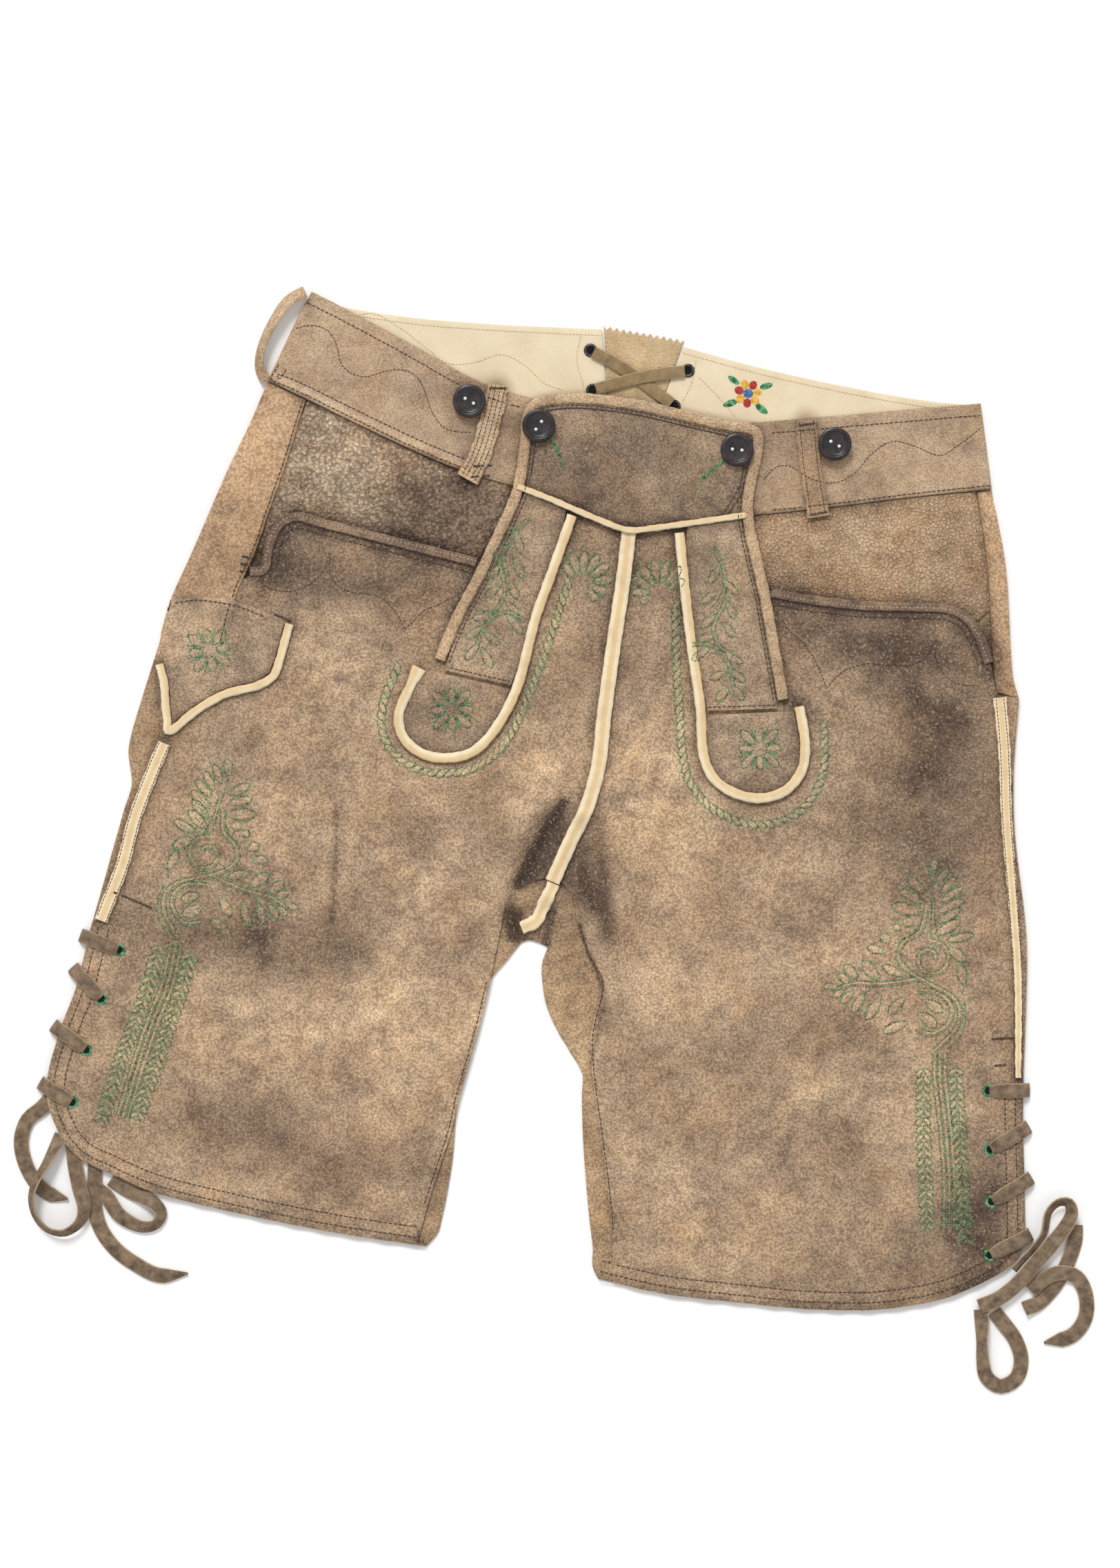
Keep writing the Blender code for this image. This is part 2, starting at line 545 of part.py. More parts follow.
def build_waistband():
    """The front waistband, whose inner ends lie under the flap."""
    under = above_front(0.0)
    left = joined(smooth(LEFT_WAIST_TOP)[:-1], [(-70, 256)], [(-62, 230)], left_waist_seam[::-1],
                  [(-262, 252), (-253, 285)])
    right = joined([(46, 266)], smooth(RIGHT_WAIST_TOP)[1:], right_waist_seam[::-1], [(36, 230)])
    panel("waistband_front_left", left, under, BAND, material["band_leather"], BAND_GRID)
    panel("waistband_front_right", right, under, BAND, material["band_leather"], BAND_GRID)


def build_fall_flap():
    """The flap's upper panel, two straps and two rounded tongues, all in one layer; binding and trims."""
    under = above_front(ON_BAND)
    edge = joined(smooth(FLAP_LEFT_EDGE), smooth(FLAP_TOP_EDGE), smooth(FLAP_RIGHT_EDGE))
    inset = beside(edge, -(BINDING_WIDTH + GAP))
    piping = smooth(PIPING)
    left_trim = smooth(LEFT_STRAP_TRIM, TRIM_STEP)
    right_trim = smooth(RIGHT_STRAP_TRIM, TRIM_STEP)
    clear = STRAP_TRIM_WIDTH / 2 + GAP
    upper = [place for place in inset if place.y > 211 or (place.y > 203 and place.x < 0)]
    flap = joined(upper, beside(piping, GAP / 2)[::-1][1:-1])
    panel("fall_flap", flap, under, OVERLAY, material["overlay_leather"])

    left_outer = [place for place in inset if place.x < 0 and 78 < place.y < 195]
    left_inner = between(beside(left_trim[:24], -clear), 74, 185)
    left_strap = joined(left_outer, [(-84.5, 196.5), (-55.5, 190.2)], left_inner,
                        [(-71.4, 68.6), (-116.5, 70.8)])
    panel("strap_left", left_strap, under, OVERLAY, material["overlay_leather"])
    right_outer = [place for place in inset if place.x > 0 and 92 < place.y < 200]
    right_inner = between(beside(right_trim[:24], clear), 80, 186)
    right_strap = joined(right_outer, [(105, 84)], [(59.8, 74.6)], right_inner[::-1],
                         [(25.5, 193.3), (59, 203.8)])
    panel("strap_right", right_strap, under, OVERLAY, material["overlay_leather"])

    left_tongue = joined([place for place in beside(left_trim, -clear) if place.y < 63], [(-127, 69)],
                         [(-72, 66.2)])
    right_tongue = joined([place for place in beside(right_trim, clear) if place.y < 68.5],
                          [(116, 84.5)], [(60.5, 71.6)])
    panel("tongue_left", left_tongue, under, OVERLAY, material["overlay_leather"])
    panel("tongue_right", right_tongue, under, OVERLAY, material["overlay_leather"])

    strip("flap_binding", beside(edge, -BINDING_WIDTH / 2), BINDING_WIDTH, under, TRIM,
          material["binding_leather"])
    strip("flap_piping", piping, PIPING_WIDTH, above_front(ON_FLAP), OVERLAY, material["cream_trim"])
    strip("strap_trim_left", left_trim, STRAP_TRIM_WIDTH, under, TRIM, material["cream_trim"])
    strip("strap_trim_right", right_trim, STRAP_TRIM_WIDTH, under, TRIM, material["cream_trim"])


def build_panel_trims():
    """Strips that lie on the front panels, and the pocket mouths' dark welts."""
    on_panel = above_front(ON_PANEL)
    centre = [Vector((-12, 180.5))] + between(centre_seam, -60, 176)
    strip("centre_strip", centre, CENTRE_WIDTH, above_front(ON_PANEL + 0.2), TRIM, material["cream_trim"])
    strip("crotch_strip", smooth(CROTCH_STRIP, SHORT_STEP), CENTRE_WIDTH - 1, level(REST + LAYER_GAP), TRIM,
          material["cream_trim"])
    strip("side_strip_left", smooth(LEFT_SIDE_STRIP), SIDE_STRIP_WIDTH, on_panel, TRIM,
          material["cream_trim"])
    strip("side_strip_right", smooth(RIGHT_SIDE_STRIP), SIDE_STRIP_WIDTH, on_panel, TRIM,
          material["cream_trim"], SIDE_STRIP_END)
    for name, mouth in (("pocket_welt_left", left_pocket), ("pocket_welt_right", right_pocket)):
        strip(name, beside(mouth, -1.0), WELT_WIDTH, on_panel, FACING, material["welt_leather"])


def build_pocket_flap():
    """The left hip pocket's flap with its scalloped lower edge, and the trim that follows that edge."""
    on_panel = above_front(ON_PANEL)
    edge = joined(smooth(POCKET_FLAP_EDGE), smooth(POCKET_FLAP_OUTER)[:-4])
    trim_line = beside(edge, -POCKET_TRIM_WIDTH / 2)
    inner_line = beside(edge, -(POCKET_TRIM_WIDTH + 2 * GAP))
    flap = joined([(-226.5, 83)], inner_line[1:-1], [(-304.5, 56)], smooth(POCKET_FLAP_TOP)[:-1])
    panel("pocket_flap", flap, on_panel, OVERLAY, material["overlay_leather"], FLAP_GRID)
    strip("pocket_flap_trim", trim_line, POCKET_TRIM_WIDTH, on_panel, TRIM, material["cream_trim"])


def build_belt_loops():
    """Two loops sewn flat on the front waistband, and one that stands out from the left side."""
    for side, path in (("left", LEFT_FRONT_LOOP), ("right", RIGHT_FRONT_LOOP)):
        strip(f"belt_loop_front_{side}", smooth(path), LOOP_WIDTH, above_front(ON_BAND), OVERLAY,
              material["band_leather"])
    ribbon("belt_loop_side_left", SIDE_LOOP, SIDE_LOOP_WIDTH, LEATHER, material["band_leather"])


def build_buttons():
    """Turned horn buttons: a rounded rim round a shallow dish."""
    radius, top = BUTTON_RADIUS, BUTTON_HEIGHT
    dish = top - 1.5
    profile = [(0, 0), (radius - 2.5, 0), (radius, 1.6), (radius, top - 1.4), (radius - 1.4, top),
               (radius - 3.6, top), (radius - 5.0, dish + 0.2), (0, dish)]
    for name, (x, y) in BUTTONS.items():
        around = [front_height(x + radius * math.cos(angle), y + radius * math.sin(angle))
                  for angle in range(6)]
        foot = max(around + [front_height(x, y)]) + ON_FLAP + 0.2
        turned(name, profile, BUTTON_SIDES, (x, y, foot), material["button_horn"])


def build_back_lacing():
    """Four eyelets beside the gusset and the two strands that cross it."""
    foot = BACK_TOP + GAP
    profile = [(EYELET_INNER, 0), (EYELET_OUTER, 0), (EYELET_OUTER, EYELET_HEIGHT),
               (EYELET_INNER, EYELET_HEIGHT)]
    for name, (x, y) in BACK_EYELETS.items():
        turned(name, profile, EYELET_SIDES, (x, y, foot), material["eyelet_metal"])
    low = foot + EYELET_HEIGHT + GAP + 0.45
    under_strand = [(-56, 296, low, 0), (-40, 291, low, 0), (-24, 284, low, 0), (-8, 276, low, 0),
                    (1, 271.5, low, 0)]
    over_strand = [(6, 294, low, 0), (-8, 290, low + 0.4, 0), (-24, 284, low + 1.4, 0),
                   (-40, 277, low + 0.4, 0), (-50, 272, low, 0)]
    for name, strand in (("back_lace_under", under_strand), ("back_lace_over", over_strand)):
        ribbon(name, strand, BACK_LACE_WIDTH, BACK_LACE, material["lace_leather"])


def build_leg_lacing():
    """Each short run starts at its eyelet, crosses the leg's edge and turns down to the surface."""
    for side, runs in (("left", LEG_EYELETS_LEFT), ("right", LEG_EYELETS_RIGHT)):
        for number, (x, y, end_x, end_y) in enumerate(runs, 1):
            outward = Vector((end_x - x, end_y - y)).normalized()
            edge = Vector((end_x, end_y))
            high = front_height(x, y) + ON_PANEL + LACE / 2 + 0.2
            rim = REST + ON_PANEL + LACE / 2 + 0.25
            middle = Vector((x, y)) + (edge - Vector((x, y))) * 0.5
            mid_z = front_height(middle.x, middle.y) + ON_PANEL + LACE / 2 + 0.3
            route = [(x, y, high, 0), (middle.x, middle.y, mid_z, 0),
                     (*(edge - outward * 4.0), rim + 0.4, 0), (*(edge + outward * 0.8), rim - 0.8, 0),
                     (*(edge + outward * 2.4), rim - 3.2, 0)]
            ribbon(f"leg_lace_{side}_{number}", route, LACE_WIDTH, LACE, material["lace_leather"],
                   SHORT_STEP)


def build_free_laces():
    """The loops and tails of the two leg laces, lying on the surface."""
    for name, route in FREE_LACES.items():
        ribbon(name, route, LACE_WIDTH, LACE, material["lace_leather"])


for old in list(bpy.data.objects):
    bpy.data.objects.remove(old)
garment = bpy.data.objects.new("garment", None)
garment.location = Vector((*OFFSET, 0.0)) * MM
bpy.context.scene.collection.objects.link(garment)
material = {name: make_material(name) for name in LOOKS}

build_back_layer()
front_left, front_right = build_front_panels()
build_hips(front_left, front_right)
build_waistband()
build_fall_flap()
build_panel_trims()
build_pocket_flap()
build_belt_loops()
build_buttons()
build_back_lacing()
build_leg_lacing()
build_free_laces()
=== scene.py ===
import json
import math
import random

import bmesh
import bpy
import numpy as np
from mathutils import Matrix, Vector
from mathutils.bvhtree import BVHTree
from mathutils.geometry import delaunay_2d_cdt

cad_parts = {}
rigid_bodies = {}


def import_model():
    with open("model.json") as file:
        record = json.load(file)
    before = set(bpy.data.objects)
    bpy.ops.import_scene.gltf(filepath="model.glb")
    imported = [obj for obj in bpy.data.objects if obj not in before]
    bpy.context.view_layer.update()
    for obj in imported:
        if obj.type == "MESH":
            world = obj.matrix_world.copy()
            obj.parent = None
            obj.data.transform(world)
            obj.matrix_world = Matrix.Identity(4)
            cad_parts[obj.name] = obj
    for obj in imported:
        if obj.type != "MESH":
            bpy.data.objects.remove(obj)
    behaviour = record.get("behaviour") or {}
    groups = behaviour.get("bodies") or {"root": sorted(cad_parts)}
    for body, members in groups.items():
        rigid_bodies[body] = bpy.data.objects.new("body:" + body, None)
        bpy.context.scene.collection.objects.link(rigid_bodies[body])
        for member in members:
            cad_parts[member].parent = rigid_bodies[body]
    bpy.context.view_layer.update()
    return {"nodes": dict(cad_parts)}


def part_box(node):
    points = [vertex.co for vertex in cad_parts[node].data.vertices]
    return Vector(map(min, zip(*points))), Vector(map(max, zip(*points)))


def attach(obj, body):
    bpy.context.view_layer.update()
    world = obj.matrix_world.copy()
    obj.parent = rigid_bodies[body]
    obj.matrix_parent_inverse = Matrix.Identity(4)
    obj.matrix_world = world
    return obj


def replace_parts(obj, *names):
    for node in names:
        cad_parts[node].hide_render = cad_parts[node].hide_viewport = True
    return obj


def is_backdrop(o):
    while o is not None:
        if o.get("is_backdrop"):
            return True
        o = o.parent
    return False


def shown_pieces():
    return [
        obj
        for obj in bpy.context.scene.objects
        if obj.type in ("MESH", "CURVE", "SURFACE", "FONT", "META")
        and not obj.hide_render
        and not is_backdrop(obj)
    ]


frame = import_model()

nodes = frame["nodes"]
mm = 0.001
shift = (0.6, -2.0)      # the pattern's places are this far from the frame's, in millimetres
random.seed(11)

# All places below are the pattern's millimetres: X to the right leg, Y to the waist, Z up.


def planPoints(vectors):
    found = np.array([tuple(v) for v in vectors]) / mm
    found[:, 0] -= shift[0]
    found[:, 1] -= shift[1]
    return found


def framePoint(p):
    return Vector(((p[0] + shift[0]) * mm, (p[1] + shift[1]) * mm, (p[2] if len(p) > 2 else 0.0) * mm))


class Wire:
    # a socket's output: sums and products on it add Math nodes
    def __init__(self, look, socket):
        self.look, self.socket = look, socket

    def math(self, operation, first, second):
        return self.look.node("ShaderNodeMath", {"operation": operation}, {0: first, 1: second})

    def __add__(self, other):
        return self.math("ADD", self, other)

    def __sub__(self, other):
        return self.math("SUBTRACT", self, other)

    def __rsub__(self, other):
        return self.math("SUBTRACT", other, self)

    def __mul__(self, other):
        return self.math("MULTIPLY", self, other)

    __radd__ = __add__
    __rmul__ = __mul__


class Look:
    # one procedural material on a Principled shader
    def __init__(self, name, **constants):
        self.material = bpy.data.materials.new(name)
        self.material.use_nodes = True
        self.tree = self.material.node_tree
        self.shader = self.tree.nodes["Principled BSDF"]
        for socket, value in constants.items():
            self.shader.inputs[socket.replace("_", " ")].default_value = value

    def node(self, kind, settings=None, inputs=None, output=0):
        made = self.tree.nodes.new(kind)
        for key, value in (settings or {}).items():
            if key == "stops":
                for index, (place, colour) in enumerate(value):
                    stops = made.color_ramp.elements
                    stop = stops[index] if index < 2 else stops.new(place)
                    stop.position, stop.color = place, colour
            else:
                setattr(made, key, value)
        for key, value in (inputs or {}).items():
            if isinstance(value, Wire):
                self.tree.links.new(value.socket, made.inputs[key])
            else:
                made.inputs[key].default_value = value
        return Wire(self, made.outputs[output])

    def feed(self, socket, wire):
        self.tree.links.new(wire.socket, self.shader.inputs[socket])

    def place(self):
        return self.node("ShaderNodeTexCoord", output="Object")

    def across(self):
        # x runs over the strip from 0 to 1, y along it in metres
        uv = self.node("ShaderNodeUVMap", {"uv_map": "strip"})
        return self.node("ShaderNodeSeparateXYZ", inputs={0: uv})

    def noise(self, size, detail=2.0, roughness=0.5):
        return self.node("ShaderNodeTexNoise", inputs={
            "Vector": self.place(), "Scale": 1.0 / (size * mm), "Detail": detail,
            "Roughness": roughness})

    def cells(self, size, feature="F1", smoothness=None):
        inputs = {"Vector": self.place(), "Scale": 1.0 / (size * mm)}
        if smoothness is not None:
            inputs["Smoothness"] = smoothness
        return self.node("ShaderNodeTexVoronoi", {"feature": feature}, inputs)

    def spread(self, wire, low, high, toLow=0.0, toHigh=1.0):
        return self.node("ShaderNodeMapRange", {"clamp": True}, {
            "Value": wire, "From Min": low, "From Max": high, "To Min": toLow, "To Max": toHigh})

    def attribute(self, name):
        return self.node("ShaderNodeAttribute", {"attribute_name": name}, output="Fac")

    def mix(self, share, first, second, blend="MIX"):
        return self.node("ShaderNodeMix", {"data_type": "RGBA", "blend_type": blend},
                         {0: share, 6: first, 7: second}, output=2)

    def bump(self, height, depth, strength=1.0):
        self.feed("Normal", self.node("ShaderNodeBump", inputs={
            "Strength": strength, "Distance": depth * mm, "Height": height}))


lightGain = 1.12    # how bright the lamps make a level white face


def colour(red, green, blue, gain=lightGain):
    values = [c / 255 for c in (red, green, blue)]
    values = [c / 12.92 if c <= 0.04045 else ((c + 0.055) / 1.055) ** 2.4 for c in values]
    return (*[min(1.0, c / gain) for c in values], 1.0)


def suedeLook(name, dark, middle, light, grain=1.35, contrast=0.42, flecks=0.4, coarse=0.0, wrinkle=0.25):
    # brushed hide: broad worn patches and the painted shade carried by the tone attribute, a pebbled grain
    # and pale flecks on the grain's tops
    look = Look(name, Roughness=0.88, Specular_IOR_Level=0.22)
    broad = look.noise(44, 5.0, 0.66)
    mottle = look.noise(12, 4.0, 0.66)
    speckle = look.noise(2.6, 3.0, 0.72)
    pebbles = look.cells(grain, "SMOOTH_F1", 0.55)
    dust = look.noise(grain * 0.8, 2.0, 0.6)
    # the tone attribute holds worn patches and painted shade in creases, hollows, pocket mouths and beside
    # raised edges
    wornAndShaded = look.attribute("tone") * look.spread(mottle, 0.25, 0.75, 0.45, 1.45)
    tone = wornAndShaded + (broad - 0.5) * 2.3 + (mottle - 0.5) * 1.7
    base = look.node("ShaderNodeValToRGB", {"stops": [(0.0, colour(*dark)), (1.0, colour(*light)),
                                                     (0.5, colour(*middle))]},
                     {0: look.spread(tone, -1.0, 1.0)})
    warm = look.spread(look.noise(31, 3.0, 0.6), 0.42, 0.66) * 0.4
    base = look.mix(warm, base, look.mix(1.0, base, (1.06, 0.92, 0.76, 1.0), "MULTIPLY"))
    tops = look.spread(pebbles, 0.15, 0.85, 1.0, 0.0)
    rough = tops * 0.5 + dust * 0.3 + speckle * 0.2
    shade = look.spread(rough, 0.36, 0.8, 1.0 - contrast * 0.5, 1.0 + contrast * 1.2)
    # painted shade: where the tone falls below -1.1, in deep creases, hollows and pocket mouths, the colour
    # is darkened down to half
    shade = shade * look.spread(look.attribute("tone"), -2.0, -1.1, 0.5, 1.0)
    gray = look.node("ShaderNodeCombineColor", inputs={0: shade, 1: shade, 2: shade})
    base = look.mix(1.0, base, gray, "MULTIPLY")
    fleck = look.spread(look.noise(grain * 1.1, 2.0, 0.6), 0.56, 0.7) * flecks
    base = look.mix(fleck, base, colour(226, 200, 166))
    look.feed("Base Color", base)
    relief = tops * 0.5 + dust * 0.35 + speckle * 0.5 + mottle * wrinkle * 2.2
    if coarse:
        relief = relief + look.spread(look.cells(coarse, "DISTANCE_TO_EDGE"), 0.0, 0.18) * 0.9
    look.bump(relief, 0.75, 1.0)
    return look.material


def creamLook(name, edge, middle, centreAt, centreWide):
    # smooth split leather with a band of another tone and dark soiled edges
    look = Look(name, Roughness=0.62, Specular_IOR_Level=0.3)
    u = look.across()
    away = look.node("ShaderNodeMath", {"operation": "ABSOLUTE"}, {0: u - centreAt})
    band = look.spread(away, centreWide * 0.55, centreWide * 1.25, 1.0, 0.0)
    base = look.mix(band, colour(*edge), colour(*middle))
    rim = look.node("ShaderNodeMath", {"operation": "ABSOLUTE"}, {0: u - 0.5})
    soiled = look.spread(rim + (look.noise(2.2, 3.0) - 0.5) * 0.08, 0.44, 0.5) * 0.75
    stain = colour(178, 140, 98)
    base = look.mix(soiled, base, stain)
    base = look.mix(look.spread(look.noise(7, 3.0), 0.42, 0.8) * 0.3, base, stain)
    look.feed("Base Color", base)
    look.bump(look.noise(1.1, 3.0) + look.noise(5, 2.0) * 0.8, 0.22, 0.6)
    return look.material


def laceLook(name, dark, light, edge):
    # a lace cut from suede: its cut edges are paler than its face
    look = Look(name, Roughness=0.85, Specular_IOR_Level=0.2)
    u = look.across()
    base = look.mix(look.spread(look.noise(6, 4.0, 0.65), 0.3, 0.7), colour(*dark), colour(*light))
    rim = look.node("ShaderNodeMath", {"operation": "ABSOLUTE"}, {0: u - 0.5})
    base = look.mix(look.spread(rim, 0.42, 0.485) * 0.85, base, colour(*edge))
    look.feed("Base Color", base)
    look.bump(look.noise(0.9, 3.0), 0.3, 0.7)
    return look.material


def threadLook(name, shade, pale, roughness=0.6):
    look = Look(name, Roughness=roughness, Specular_IOR_Level=0.35)
    share = look.spread(look.noise(2.4, 2.0), 0.38, 0.62)
    look.feed("Base Color", look.mix(share, colour(*shade), colour(*pale)))
    look.bump(look.noise(0.25, 1.0), 0.1, 0.6)
    return look.material


def fabricLook(name, main, stain):
    # the lining: napped pale hide with faint wrinkles
    look = Look(name, Roughness=0.9, Specular_IOR_Level=0.2)
    base = look.mix(look.spread(look.noise(24, 4.0, 0.6), 0.35, 0.75) * 0.6, colour(*main), colour(*stain))
    # darker where the tone attribute falls below zero, which carries stains and painted shade
    base = look.mix(look.spread(look.attribute("tone"), 0.0, -1.0), base, colour(150, 120, 88))
    base = look.mix(look.spread(look.noise(1.2, 2.0), 0.5, 0.8) * 0.25, base, colour(206, 182, 146))
    look.feed("Base Color", base)
    look.bump(look.noise(1.4, 3.0) * 0.5 + look.noise(11, 2.0), 0.5, 0.6)
    return look.material


def hornLook(name):
    look = Look(name, Roughness=0.32, Specular_IOR_Level=0.5, Coat_Roughness=0.2)
    look.feed("Base Color", look.mix(look.spread(look.noise(5, 4.0, 0.6), 0.35, 0.75),
                                     colour(22, 18, 21), colour(62, 50, 52)))
    look.feed("Roughness", look.spread(look.noise(2.5, 3.0), 0.3, 0.8, 0.24, 0.46))
    look.bump(look.noise(1.6, 2.0), 0.06, 0.5)
    return look.material


def metalLook(name):
    look = Look(name, Metallic=0.85, Roughness=0.38)
    look.feed("Base Color", look.mix(look.spread(look.noise(1.6, 3.0), 0.4, 0.7),
                                     colour(46, 44, 44), colour(112, 108, 102)))
    look.feed("Roughness", look.spread(look.noise(1.1, 2.0), 0.3, 0.8, 0.3, 0.55))
    return look.material


looks = {
    "suede": suedeLook("suede", (88, 72, 62), (166, 141, 116), (218, 188, 152), 1.5, 0.5, 0.36),
    "suedeBack": suedeLook("suede_back", (92, 75, 62), (166, 139, 110), (212, 180, 142), 1.4, 0.5, 0.4,
                           wrinkle=0.8),
    "sideLeather": suedeLook("side_leather", (112, 88, 70), (182, 151, 120), (216, 184, 148), 1.7, 0.44,
                             0.35),
    "grainLeather": suedeLook("grain_leather", (78, 62, 53), (160, 138, 116), (204, 182, 156), 2.4, 0.56, 0.3,
                              coarse=3.0),
    "tanGrain": suedeLook("tan_grain", (96, 78, 65), (174, 145, 116), (212, 184, 150), 1.5, 0.34, 0.25,
                          coarse=2.6),
    "bandLeather": suedeLook("band_leather", (112, 93, 79), (178, 153, 127), (212, 186, 156), 1.2, 0.36, 0.3),
    "overlayLeather": suedeLook("overlay_leather", (74, 60, 53), (146, 125, 105), (194, 168, 138), 1.3, 0.5,
                                0.3),
    "bindingLeather": suedeLook("binding_leather", (112, 91, 73), (176, 149, 120), (212, 186, 152), 1.2, 0.46,
                                0.3),
    # the welts' dark colour is partly the leather's own and partly painted shadow of the hip facings above
    # them
    "shadedWeltLeather": suedeLook("welt_leather", (70, 57, 52), (112, 93, 81), (160, 136, 114), 1.2, 0.4, 0.25),
    "gusset": suedeLook("gusset_suede", (158, 132, 98), (200, 175, 136), (222, 200, 162), 1.1, 0.18, 0.1),
    "creamCentre": creamLook("cream_centre", (243, 226, 192), (232, 202, 154), 0.5, 0.2),
    "creamInner": creamLook("cream_strap", (243, 227, 194), (233, 205, 158), 0.28, 0.3),
    "creamOuter": creamLook("cream_right_strap", (243, 227, 194), (233, 205, 158), 0.72, 0.3),
    "lining": fabricLook("lining_cream", (238, 222, 192), (222, 200, 164)),
    "lace": laceLook("lace_leather", (88, 74, 62), (154, 132, 108), (186, 162, 130)),
    "backLace": laceLook("back_lace", (128, 108, 78), (164, 140, 104), (190, 168, 130)),
    "horn": hornLook("button_horn"),
    "metal": metalLook("eyelet_metal"),
    "darkThread": threadLook("dark_thread", (48, 38, 34), (80, 62, 52)),
    "greenThread": threadLook("green_thread", (22, 84, 52), (104, 176, 120)),
    "eyeletThread": threadLook("eyelet_thread", (24, 104, 66), (120, 190, 140)),
    "creamThread": threadLook("cream_thread", (196, 176, 140), (226, 208, 172)),
    "whiteThread": threadLook("white_thread", (236, 236, 232), (252, 252, 250)),
    # painted shadow for the eyelets' holes
    "hole": threadLook("hole_shadow", (14, 12, 12), (26, 22, 20), 0.95),
    "goldThread": threadLook("gold_thread", (206, 152, 44), (238, 192, 84)),
    "redThread": threadLook("red_thread", (150, 40, 38), (190, 62, 52)),
    "blueThread": threadLook("blue_thread", (52, 84, 140), (92, 128, 180)),
}
print("looks made")

cameraSet = {"over": (-28.0, 10.0), "height": 2459.7, "roll": 10.0, "lens": 85.0}
camera = bpy.data.objects.new("camera", bpy.data.cameras.new("camera"))
camera.data.lens = cameraSet["lens"]
camera.data.sensor_width = 36.0
camera.location = framePoint((*cameraSet["over"], cameraSet["height"]))
camera.rotation_euler = (0, 0, math.radians(cameraSet["roll"]))
bpy.context.scene.collection.objects.link(camera)
bpy.context.scene.camera = camera
bpy.context.scene.view_settings.view_transform = "Standard"

lampSet = {"sky": 0.72, "strength": 1.9, "width": 18.0, "tilt": (38.0, -22.0)}
world = bpy.data.worlds.new("studio")
world.use_nodes = True
world.node_tree.nodes["Background"].inputs["Color"].default_value = (1.0, 0.99, 0.975, 1.0)
world.node_tree.nodes["Background"].inputs["Strength"].default_value = lampSet["sky"]
bpy.context.scene.world = world
lamp = bpy.data.objects.new("key_lamp", bpy.data.lights.new("key_lamp", "SUN"))
lamp.data.energy = lampSet["strength"]
lamp.data.angle = math.radians(lampSet["width"])
# from the waist side and a little from the left
lamp.rotation_euler = (math.radians(-lampSet["tilt"][0]), math.radians(lampSet["tilt"][1]), 0)
bpy.context.scene.collection.objects.link(lamp)

bpy.ops.object.select_all(action="DESELECT")
bpy.ops.mesh.primitive_plane_add(size=8.0, location=(0, 0, -0.0003))
floor = bpy.context.object
floor.name = "floor"
floorLook = Look("floor", Roughness=0.9)
paleGreys = (0.93, 0.93, 0.93, 1), (0.95, 0.95, 0.95, 1)
floorLook.feed("Base Color", floorLook.mix(floorLook.noise(900, 1.0), *paleGreys))
floor.data.materials.append(floorLook.material)
floor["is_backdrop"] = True
print("camera, lamps and floor placed")


def softLine(points, step):
    # a rounded line through the given points, in as many numbers each as they have
    ends = [np.array(p, float) for p in points]
    ends = [2 * ends[0] - ends[1], *ends, 2 * ends[-1] - ends[-2]]
    found = []
    size = np.linalg.norm
    for before, start, end, after in zip(ends, ends[1:], ends[2:], ends[3:]):
        length = size(end - start)
        into = (end - before) * length / max(length + size(start - before), 1e-6)
        out = (after - start) * length / max(size(after - end) + length, 1e-6)
        count = max(1, math.ceil(length / step))
        for index in range(count):
            t = index / count
            found.append(start * (2 * t ** 3 - 3 * t ** 2 + 1) + into * (t ** 3 - 2 * t ** 2 + t)
                         + end * (3 * t ** 2 - 2 * t ** 3) + out * (t ** 3 - t ** 2))
    return np.array(found + [ends[-2]])


def heading(angle):
    # the unit vector at an angle in radians
    return np.array((math.cos(angle), math.sin(angle)))


def beside(line, offset):
    # the line moved to its left
    line = np.asarray(line, float)[:, :2]
    along = np.gradient(line, axis=0)
    along /= np.maximum(np.linalg.norm(along, axis=1, keepdims=True), 1e-9)
    return line + np.stack([-along[:, 1], along[:, 0]], 1) * offset


def evenly(line, step):
    # the same line with its points a step apart
    line = np.asarray(line, float)
    runs = np.linalg.norm(np.diff(line[:, :2], axis=0), axis=1)
    far = np.concatenate([[0], np.cumsum(runs)])
    count = max(2, int(round(far[-1] / step)) + 1)
    marks = np.linspace(0, far[-1], count)
    return np.stack([np.interp(marks, far, line[:, axis]) for axis in range(line.shape[1])], 1)


def lineDistance(places, line):
    # how far each place is from a line of straight runs
    line = np.asarray(line, float)[:, :2]
    best = np.full(len(places), 1e9)
    for a, b in zip(line, line[1:]):
        run = b - a
        t = np.clip(((places - a) @ run) / max(run @ run, 1e-9), 0, 1)
        best = np.minimum(best, np.linalg.norm(places - a - t[:, None] * run, axis=1))
    return best


def insideOf(places, outline):
    x, y = places[:, 0], places[:, 1]
    hit = np.zeros(len(places), bool)
    for a, b in zip(outline, np.roll(outline, -1, axis=0)):
        crosses = (a[1] > y) != (b[1] > y)
        if a[1] != b[1]:
            hit ^= crosses & (x < (b[0] - a[0]) * (y - a[1]) / (b[1] - a[1]) + a[0])
    return hit


def mergedCopy(node):
    mesh = bmesh.new()
    mesh.from_mesh(nodes[node].data)
    bmesh.ops.remove_doubles(mesh, verts=mesh.verts, dist=1e-5)
    return mesh


def rimOf(node):
    # the edge of a CAD wall's upper side, in order and anticlockwise, with its height
    mesh = mergedCopy(node)
    mesh.faces.index_update()
    mesh.normal_update()
    upper = [face for face in mesh.faces if face.normal.z > 0.35]
    known = {face.index for face in upper}
    ahead = {}
    for face in upper:
        for loop in face.loops:
            others = [f for f in loop.edge.link_faces if f.index in known]
            if len(others) == 1:
                ahead[loop.vert] = loop.link_loop_next.vert
    start = next(iter(ahead))
    chain, vert = [start], ahead[start]
    while vert is not start and len(chain) <= len(ahead):
        chain.append(vert)
        vert = ahead[vert]
    found = planPoints([v.co for v in chain])
    mesh.free()
    return found


